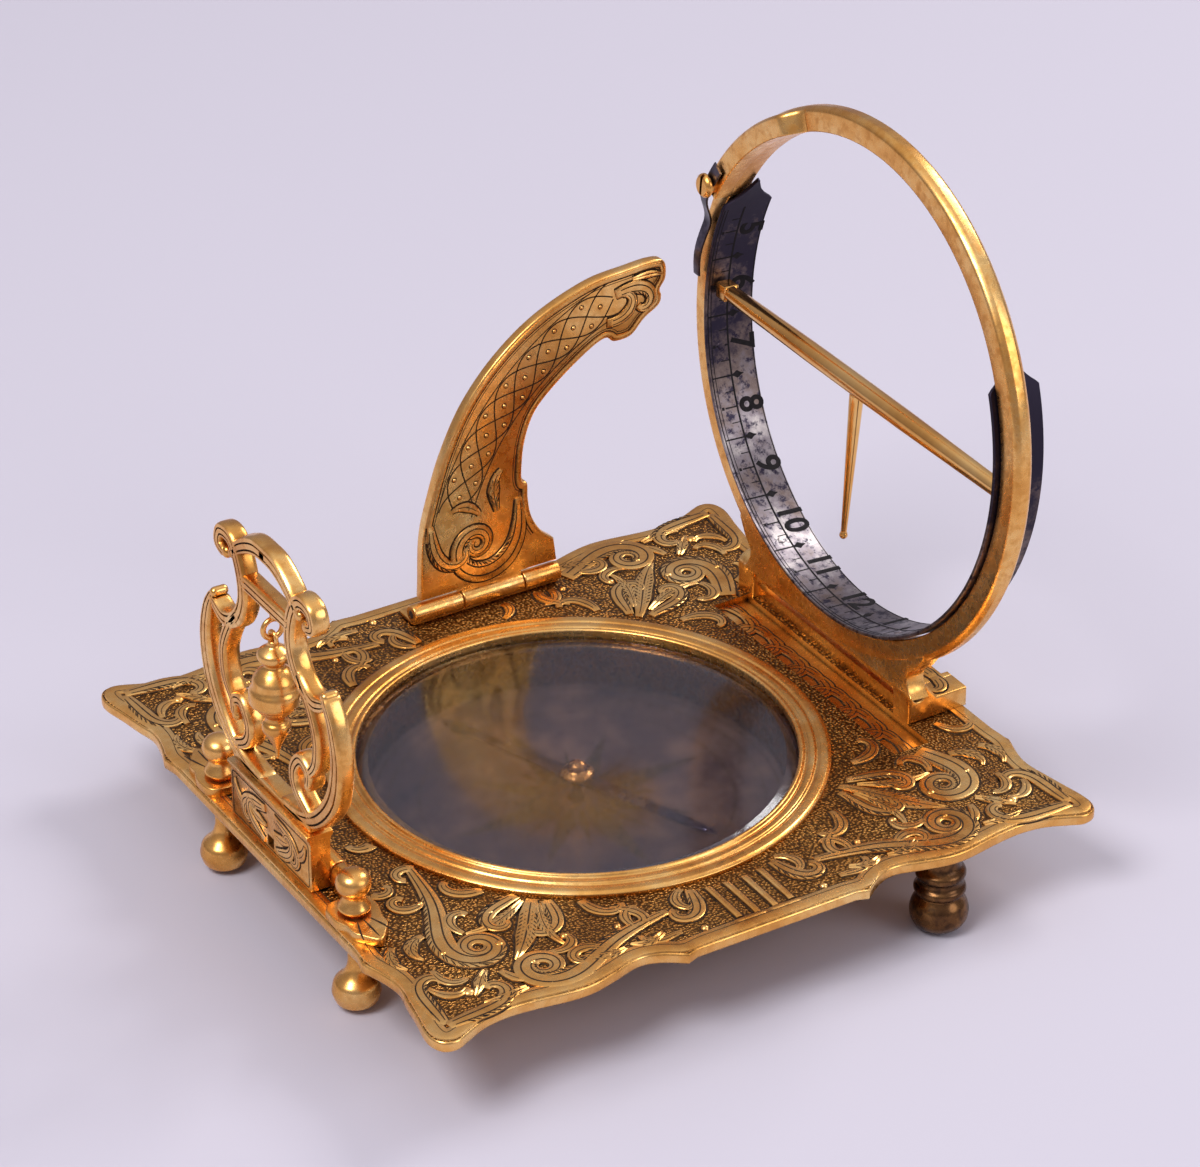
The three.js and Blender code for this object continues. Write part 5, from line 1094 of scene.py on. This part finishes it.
# The back of the leaf carries the latitude scale, one mark a degree.
backScale = {"from": 16, "to": 66, "outer": 31.9, "figures": 29.4, "size": 2.0, "lift": 0.016, "apart": 0.28,
             "tens": 1.9, "fives": 1.4, "ones": 0.85, "bold": 0.17, "fine": 0.12, "rule": 0.1}
scaleMarks = []
for degree in range(backScale["from"], backScale["to"] + 1):
    reach = backScale["tens" if degree % 10 == 0 else "fives" if degree % 5 == 0 else "ones"]
    mark = alongArc(np.linspace(backScale["outer"] - reach, backScale["outer"], 4), np.full(4, float(degree)))
    scaleMarks.append(cutLine(mark, backScale["fine" if degree % 5 else "bold"], onArcBack, backScale["lift"]))
rule = np.linspace(backScale["from"] - 1, backScale["to"] + 1, 90)
for radius in (backScale["outer"], backScale["outer"] + backScale["apart"]):
    scaleMarks.append(cutLine(alongArc(radius, rule), backScale["rule"], onArcBack, backScale["lift"]))
makePiece("latitude_marks", scaleMarks, blackWax, "arc", sharpAngle=80)
figures = []
for degree in range(20, backScale["to"], 10):
    x, y = alongArc(backScale["figures"], degree)
    figures.append((str(degree), -x, y, 90 - degree))
figureMesh = numeralMesh("latitude_figures", figures, backScale["size"], lambda a, b, lift: onArcBack(-a, b, lift))
dressPiece("latitude_figures", figureMesh, blackWax, "arc", sharpAngle=80)


def boxLoop(x0, x1, y0, y1):  # a rectangle's four corners, round to the left
    return np.array([[x0, y0], [x1, y0], [x1, y1], [x0, y1]])


hingePlate = roundedProfile(boxLoop(arc["plateStart"], arc["plateEnd"], arc["plateFront"], arc["plateBack"]),
                            closed=True, steps=5, radius=0.5)
slab("arc_hinge_plate", hingePlate, arc["plateThickness"], onTop(arc["plateBase"]), giltPlain, "base", 0.12,
     ("arc_hinge_leaf",))
atArcHinge = lambda grid: (moved(zToX(grid), (0, arc["hingeY"], arc["hingeZ"])), True, False)
knuckles = [atArcHinge(rod(arc["knuckle"], start, end, 40, arc["knuckleTip"])) for start, end in arc["knuckles"]]
makePiece("arc_knuckles", knuckles, giltPlain, "base")
middleKnuckle = rod(arc["knuckle"], arc["midStart"], arc["midEnd"], 40, arc["knuckleTip"])
makePiece("arc_middle_knuckle", [atArcHinge(middleKnuckle)], giltPlain, "arc")
slab("arc_knuckle_web", boxLoop(arc["midStart"], arc["midEnd"], arc["webBase"], arc["webTop"]),
     arc["thickness"] - 0.04, alongY(arc["front"] + 0.02), giltPlain, "arc", 0.1)
makePiece("arc_pin", [atArcHinge(rod(arc["pin"], arc["plateStart"], arc["plateEnd"]))], pinSteel, "base",
          ("arc_hinge_pin",))
print("latitude arc made")


# Plumb bracket: an engraved block with a moulded cornice, and a lyre of scrolls standing on it.
bracket = {"front": -35.18, "back": -33.02, "half": 8.0, "bottom": 9.82, "top": 16.18, "cornice": 0.36, "bead": 0.144,
           "hingeX": -32.2, "hingeZ": 11.35, "barrel": 1.03, "barrelHalf": 7.98, "frameFront": -34.98,
           "frameBack": -33.22, "frameHalf": 13.9, "frameHeight": 34.1, "frameBase": 9.6, "relief": 0.13,
           "tieHalf": 7.6, "lugWidth": 1.86, "pin": 0.5, "pinHalf": 10.1}


def barAlongY(profile, half, edge=0.12):  # a closed (x, z) section carried along Y, drawn in a little at both ends
    middle = profile.mean(0)
    rings = [np.insert(middle + (profile - middle) * share, 1, y, axis=1)
             for share, y in ((0.95, -half), (1, edge - half), (1, half - edge), (0.95, half))]
    return capEnds(np.stack(rings)), False, True


halfSection = np.array([[0, bracket["bottom"]], [0, 15.2], [bracket["bead"], 15.42], [bracket["bead"], 15.6],
                        [bracket["cornice"], 15.82], [bracket["cornice"], bracket["top"]]])  # (out, z) of one face
blockSection = np.vstack([halfSection * [-1, 1] + [bracket["front"], 0],
                          (halfSection + [bracket["back"], 0])[::-1]])
blockBar = barAlongY(roundedProfile(blockSection, closed=True, radius=0.14), bracket["half"])
block = makePiece("bracket_block", [blockBar], giltPlain, "bracket", ("plummet_block",))
catchHole = ((-36.5, -0.6, 10.4), (-34.2, 0.6, 11.6))
carve(block, catchHole)
bridge = np.array([[bracket["back"] - 0.2, 10.85], [bracket["back"] - 0.2, 11.85], [bracket["hingeX"], 11.85],
                   [bracket["hingeX"], 10.85]])
atBracketHinge = lambda grid: (moved(zToY(grid), (bracket["hingeX"], 0, bracket["hingeZ"])), True, False)
bracketBarrel = atBracketHinge(rod(bracket["barrel"], -bracket["barrelHalf"], bracket["barrelHalf"], 40, 0.14))
makePiece("bracket_barrel", [barAlongY(bridge, bracket["barrelHalf"] - 0.03), bracketBarrel], giltPlain, "bracket")
onBlock = lambda a, b, lift: np.stack([bracket["front"] - lift, a, b], -1)
blockScrolls = [
    ((0.9, 14.3), -14, 8.2, (0.08, -0.05, -0.4, -1.2, -1.9), (0.8, 1.35, 1.3, 0.9, 0.6), "scroll"),
    ((1.1, 10.6), 16, 7.0, (-0.05, 0.15, 0.6, 1.4, 2.1), (0.7, 1.3, 1.2, 0.9, 0.6), "scroll"),
    ((0.7, 12.5), 0, 3.4, (0.0, 0.3), (0.4, 1.1, 0.3), "leaf"),
    ((7.0, 14.4), -98, 3.6, (-0.3, -0.7), (0.4, 1.0, 0.3), "leaf"),
]
blockRaised, blockCuts = chase(blockScrolls, [(1, 1), (-1, 1)], onBlock, bracket["relief"], outline=0.3)
border = roundedProfile(boxLoop(-7.6, 7.6, 10.15, 15.0), closed=True, steps=5, radius=0.4)
blockCuts.append(closedRelief(border, 0.14, 0.014, "plain", onBlock))
makeChasing("block", blockRaised, blockCuts, "bracket")

# The lyre's bars as shares of its half width and height, and their widths as shares of the half width.
frameBars = [
    ([[0.1, 0.2], [0.42, 0.215], [0.66, 0.27], [0.86, 0.375], [0.93, 0.5], [0.88, 0.61], [0.78, 0.685]],
     [0.1, 0.12, 0.15, 0.17, 0.14, 0.11, 0.07]),
    ([[0.8, 0.66], [0.62, 0.635], [0.43, 0.675], [0.33, 0.755], [0.36, 0.845], [0.47, 0.915], [0.62, 0.915],
      [0.66, 0.87], [0.56, 0.852]], [0.09, 0.13, 0.14, 0.13, 0.13, 0.12, 0.11, 0.1, 0.08]),
    ([[-0.08, 0.965], [0.14, 0.96], [0.34, 0.92], [0.47, 0.87]], [0.13, 0.14, 0.12, 0.08]),
    ([[0.4, 0.7], [0.56, 0.62], [0.66, 0.53], [0.64, 0.44], [0.52, 0.375]], [0.1, 0.1, 0.1, 0.1, 0.07]),
    ([[0.56, 0.24], [0.36, 0.29], [0.32, 0.35], [0.42, 0.405], [0.53, 0.385], [0.52, 0.335]],
     [0.1, 0.11, 0.11, 0.11, 0.1, 0.07]),
    ([[-0.05, 0.815], [0.2, 0.815], [0.36, 0.815]], [0.12, 0.12]),
]
# Half of a bar's section: how far across, and how far out from its middle plane; two lines are cut along it.
barShares = np.array([[-1, 0.0], [-1, 0.45], [-0.93, 0.78], [-0.78, 0.97], [-0.56, 1.0], [-0.5, 0.8], [-0.4, 0.8],
                      [-0.34, 1.0], [0.2, 1.0], [0.26, 0.8], [0.34, 0.8], [0.4, 1.0], [0.78, 0.97], [0.93, 0.78],
                      [1, 0.45]])
barLoop = np.vstack([barShares, barShares[::-1] * [1, -1]])
frameMiddle = (bracket["frameBack"] + bracket["frameFront"]) / 2


# The section is carried along the line: across it by half the width, and along X by half the frame's thickness.
# It gives the bar, and the dark lines of painted shade with oxide in its cuts on the front and on the back.
def scrollBar(line, widths, side):
    count = 14 * len(line)
    path = spline(np.array(line) * [bracket["frameHalf"], bracket["frameHeight"]] + [0, bracket["frameBase"]], count)
    fromTip = np.minimum(np.arange(count), count - 1 - np.arange(count)) / 4
    rounding = np.sqrt(1 - (1 - np.clip(fromTip, 0.06, 1)) ** 2)
    half = widthAlong(np.array(widths) * bracket["frameHalf"], count) / 2 * rounding
    depth = (bracket["frameBack"] - bracket["frameFront"]) / 2 * (0.72 + 0.28 * rounding)
    flat = path[:, None] + normals2d(path)[:, None] * (barLoop[:, 0] * half[:, None])[..., None]
    bar = np.stack([frameMiddle - barLoop[:, 1] * depth[:, None], flat[..., 0] * side, flat[..., 1]], -1)
    inner, innerHalf = path[5:-5], half[5:-5]
    lines = [cutLine(inner, np.clip(innerHalf * 0.11, 0.09, 0.22),
                     lambda a, b, lift: np.stack([frameMiddle - face * lift, a * side, b], -1),
                     depth[5:-5] * 0.8 + 0.03, innerHalf * share) for face in (1, -1) for share in (-0.45, 0.3)]
    return (capEnds(bar), False, True), lines


bars = [scrollBar(line, widths, side) for line, widths in frameBars for side in (1, -1)]
makePiece("lyre_cuts", [cut for _, lines in bars for cut in lines], cutShade, "bracket", sharpAngle=80)
lyre = [bar for bar, _ in bars]
frameBeads = [(0.78, 0.682, 0.5), (0.565, 0.856, 0.62), (0.47, 0.872, 0.55), (0.52, 0.378, 0.5), (0.515, 0.34, 0.55),
              (0.8, 0.66, 0.5)]  # at the bars' curled ends: shares along Y and Z, and the radius in mm
for y, z, radius in frameBeads:
    bead = zToX(revolve(roundedProfile([[0, -0.9], [radius * 0.6, -0.88], [radius, -0.6], [radius, 0.6],
                                        [radius * 0.6, 0.88], [0, 0.9]], radius=0.2), 24))
    for side in (1, -1):
        at = (frameMiddle, side * y * bracket["frameHalf"], bracket["frameBase"] + z * bracket["frameHeight"])
        lyre.append((moved(bead, at), True, False))
tie = boxLoop(16.3, 17.05, bracket["frameFront"], bracket["frameBack"])[:, ::-1]
lyre.append(barAlongY(roundedProfile(tie, closed=True, radius=0.2), bracket["tieHalf"]))
makePiece("lyre_frame", lyre, giltPlain, "bracket", ("plummet_frame",))

stripOutline = np.array([[-30.15, -10.1], [-30.15, 10.1], [-33.2, 10.1], [-33.2, 8.25], [-32.75, 8.25],
                         [-32.75, -8.25], [-33.2, -8.25], [-33.2, -10.1]])
slab("bracket_hinge_strip", stripOutline, 0.22, onTop(9.66), giltPlain, "base", 0.06, ("plummet_hinge",))
lugSide = np.vstack([[[-33.23, 9.7], [-31.17, 9.7]],
                     arcPoints(bracket["barrel"], np.linspace(0, pi, 16), bracket["hingeX"], bracket["hingeZ"])])
for name, start in (("left", 8.22), ("right", -10.08)):
    slab(f"bracket_lug_{name}", lugSide, bracket["lugWidth"], alongY(start), giltPlain, "base", 0.12)
bracketPin = atBracketHinge(rod(bracket["pin"], -bracket["pinHalf"], bracket["pinHalf"]))
makePiece("bracket_pin", [bracketPin], pinSteel, "base", ("plummet_hinge_pin",))
print("plumb bracket made")


# Eye under the frame's web, and the turned bob that hangs in it by its own ring.
bob = {"place": (-34.1, 0, 34.4), "radius": 2.53725, "length": 14.4, "eye": 1.0, "eyeWire": 0.27, "ring": 0.65,
       "ringWire": 0.21, "ringDrop": 1.05}


# A wire ring in the XZ plane: at the angle a it is radius + wire cos b from the middle, and wire sin b along Y.
def wireRing(radius, wire, sides=40, around=14):
    a = (np.arange(sides) * 2 * pi / sides)[:, None]
    b = np.arange(around) * 2 * pi / around
    r = radius + wire * np.cos(b)
    return np.stack(np.broadcast_arrays(r * np.cos(a), wire * np.sin(b), r * np.sin(a)), -1)


eyeStem = roundedProfile([[0, 0.98], [0.3, 0.98], [0.24, 1.4], [0.34, 1.7], [0.24, 1.94], [0, 1.94]], radius=0.08)
eyeRing = moved(wireRing(bob["eye"], bob["eyeWire"]), bob["place"])
makePiece("hanging_eye", [(eyeRing, True, True), turned(eyeStem, 20, bob["place"])], gilt, "bracket",
          ("plummet_eye",))
bobShares = np.array([[0, 1], [0.04, 0.985], [0.13, 0.9], [0.33, 0.83], [0.56, 0.76], [0.55, 0.715], [0.4, 0.69],
                      [0.42, 0.65], [0.68, 0.61], [0.83, 0.57], [1, 0.545], [1, 0.46], [0.86, 0.42], [0.84, 0.37],
                      [0.6, 0.315], [0.36, 0.285], [0.35, 0.255], [0.62, 0.225], [0.64, 0.175], [0.42, 0.145],
                      [0.22, 0.125], [0.2, 0.09], [0, 0.085]])
bobProfile = roundedProfile(bobShares * [bob["radius"], -bob["length"]], steps=5, radius=0.32)
bobRing = wireRing(bob["ring"], bob["ringWire"])[..., [1, 0, 2]] - [0, 0, bob["ringDrop"]]
makePiece("bob", [turned(bobProfile, 64, bob["place"]), (moved(bobRing, bob["place"]), True, True)], gilt, "bob",
          ("plumb_bob",))
print("bob made")


# Stage: a pale lilac-grey floor, three soft lamps and a sky that is paler upwards. A lamp is (name, place, size in
# m, power in W) and looks at aim.
stage = {"floor": "#bdb8c4", "reach": 3.0, "under": -0.0002, "skyStrength": 0.95, "aim": (0, 0, 0.02),
         "sky": ((0.0, "#8f8b98"), (0.6, "#b0acb8"), (1.0, "#f4f2f6")),
         "lamps": (("keyLamp", (-0.42, -0.10, 0.62), 0.34, 3.6), ("fillLamp", (0.34, -0.56, 0.36), 0.42, 1.2),
                   ("backLamp", (0.55, 0.12, 0.5), 0.30, 2.4))}
scene = bpy.context.scene
floorMesh = bpy.data.meshes.new("floor")
floorCorners = boxLoop(-stage["reach"], stage["reach"], -stage["reach"], stage["reach"])
floorMesh.from_pydata([(x, y, stage["under"]) for x, y in floorCorners.tolist()], [], [(0, 1, 2, 3)])
floor = bpy.data.objects.new("floor", floorMesh)
scene.collection.objects.link(floor)
floorPaint, _, floorShader = newMaterial("matt_floor")
floorShader.inputs["Base Color"].default_value = toLinear(stage["floor"])
floorShader.inputs["Roughness"].default_value = 0.75
floorMesh.materials.append(floorPaint)
world = bpy.data.worlds.new("even_sky")
scene.world = world
world.use_nodes = True
sky = world.node_tree.nodes["Background"].inputs
direction = addNode(world.node_tree, "ShaderNodeTexCoord").outputs["Generated"]
heightOf = addNode(world.node_tree, "ShaderNodeSeparateXYZ", {"Vector": direction}).outputs["Z"]
skyTone = addNode(world.node_tree, "ShaderNodeValToRGB", {"Fac": heightOf}, stage["sky"]).outputs[0]
world.node_tree.links.new(skyTone, sky["Color"])
sky["Strength"].default_value = stage["skyStrength"]
for name, place, size, power in stage["lamps"]:
    lamp = bpy.data.lights.new(name, "AREA")
    lamp.shape, lamp.size, lamp.energy = "DISK", size, power
    holder = bpy.data.objects.new(name, lamp)
    holder.location = place
    towards = mathutils.Vector(stage["aim"]) - mathutils.Vector(place)
    holder.rotation_euler = towards.to_track_quat("-Z", "Y").to_euler()
    scene.collection.objects.link(holder)

view = {"place": (-0.2009, -0.3303, 0.26175), "yaw": 31.47, "pitch": 31.10, "roll": 0.10, "lens": 141.0, "sensor": 36.0}
yaw, pitch, roll = np.radians([view["yaw"], view["pitch"], view["roll"]])
forward = np.array([np.sin(yaw) * np.cos(pitch), np.cos(yaw) * np.cos(pitch), -np.sin(pitch)])
right = np.array([np.cos(yaw), -np.sin(yaw), 0.0])
up = np.cross(right, forward)
right, up = np.cos(roll) * right + np.sin(roll) * up, -np.sin(roll) * right + np.cos(roll) * up
lens = bpy.data.cameras.new("studioCamera")
lens.lens, lens.sensor_width, lens.sensor_fit = view["lens"], view["sensor"], "HORIZONTAL"
camera = bpy.data.objects.new("studioCamera", lens)
stand = np.vstack([np.column_stack([right, up, -forward, view["place"]]), [0, 0, 0, 1]])
camera.matrix_world = mathutils.Matrix(stand.tolist())
scene.collection.objects.link(camera)
scene.camera = camera
scene.view_settings.view_transform = "Standard"
print("stage made")
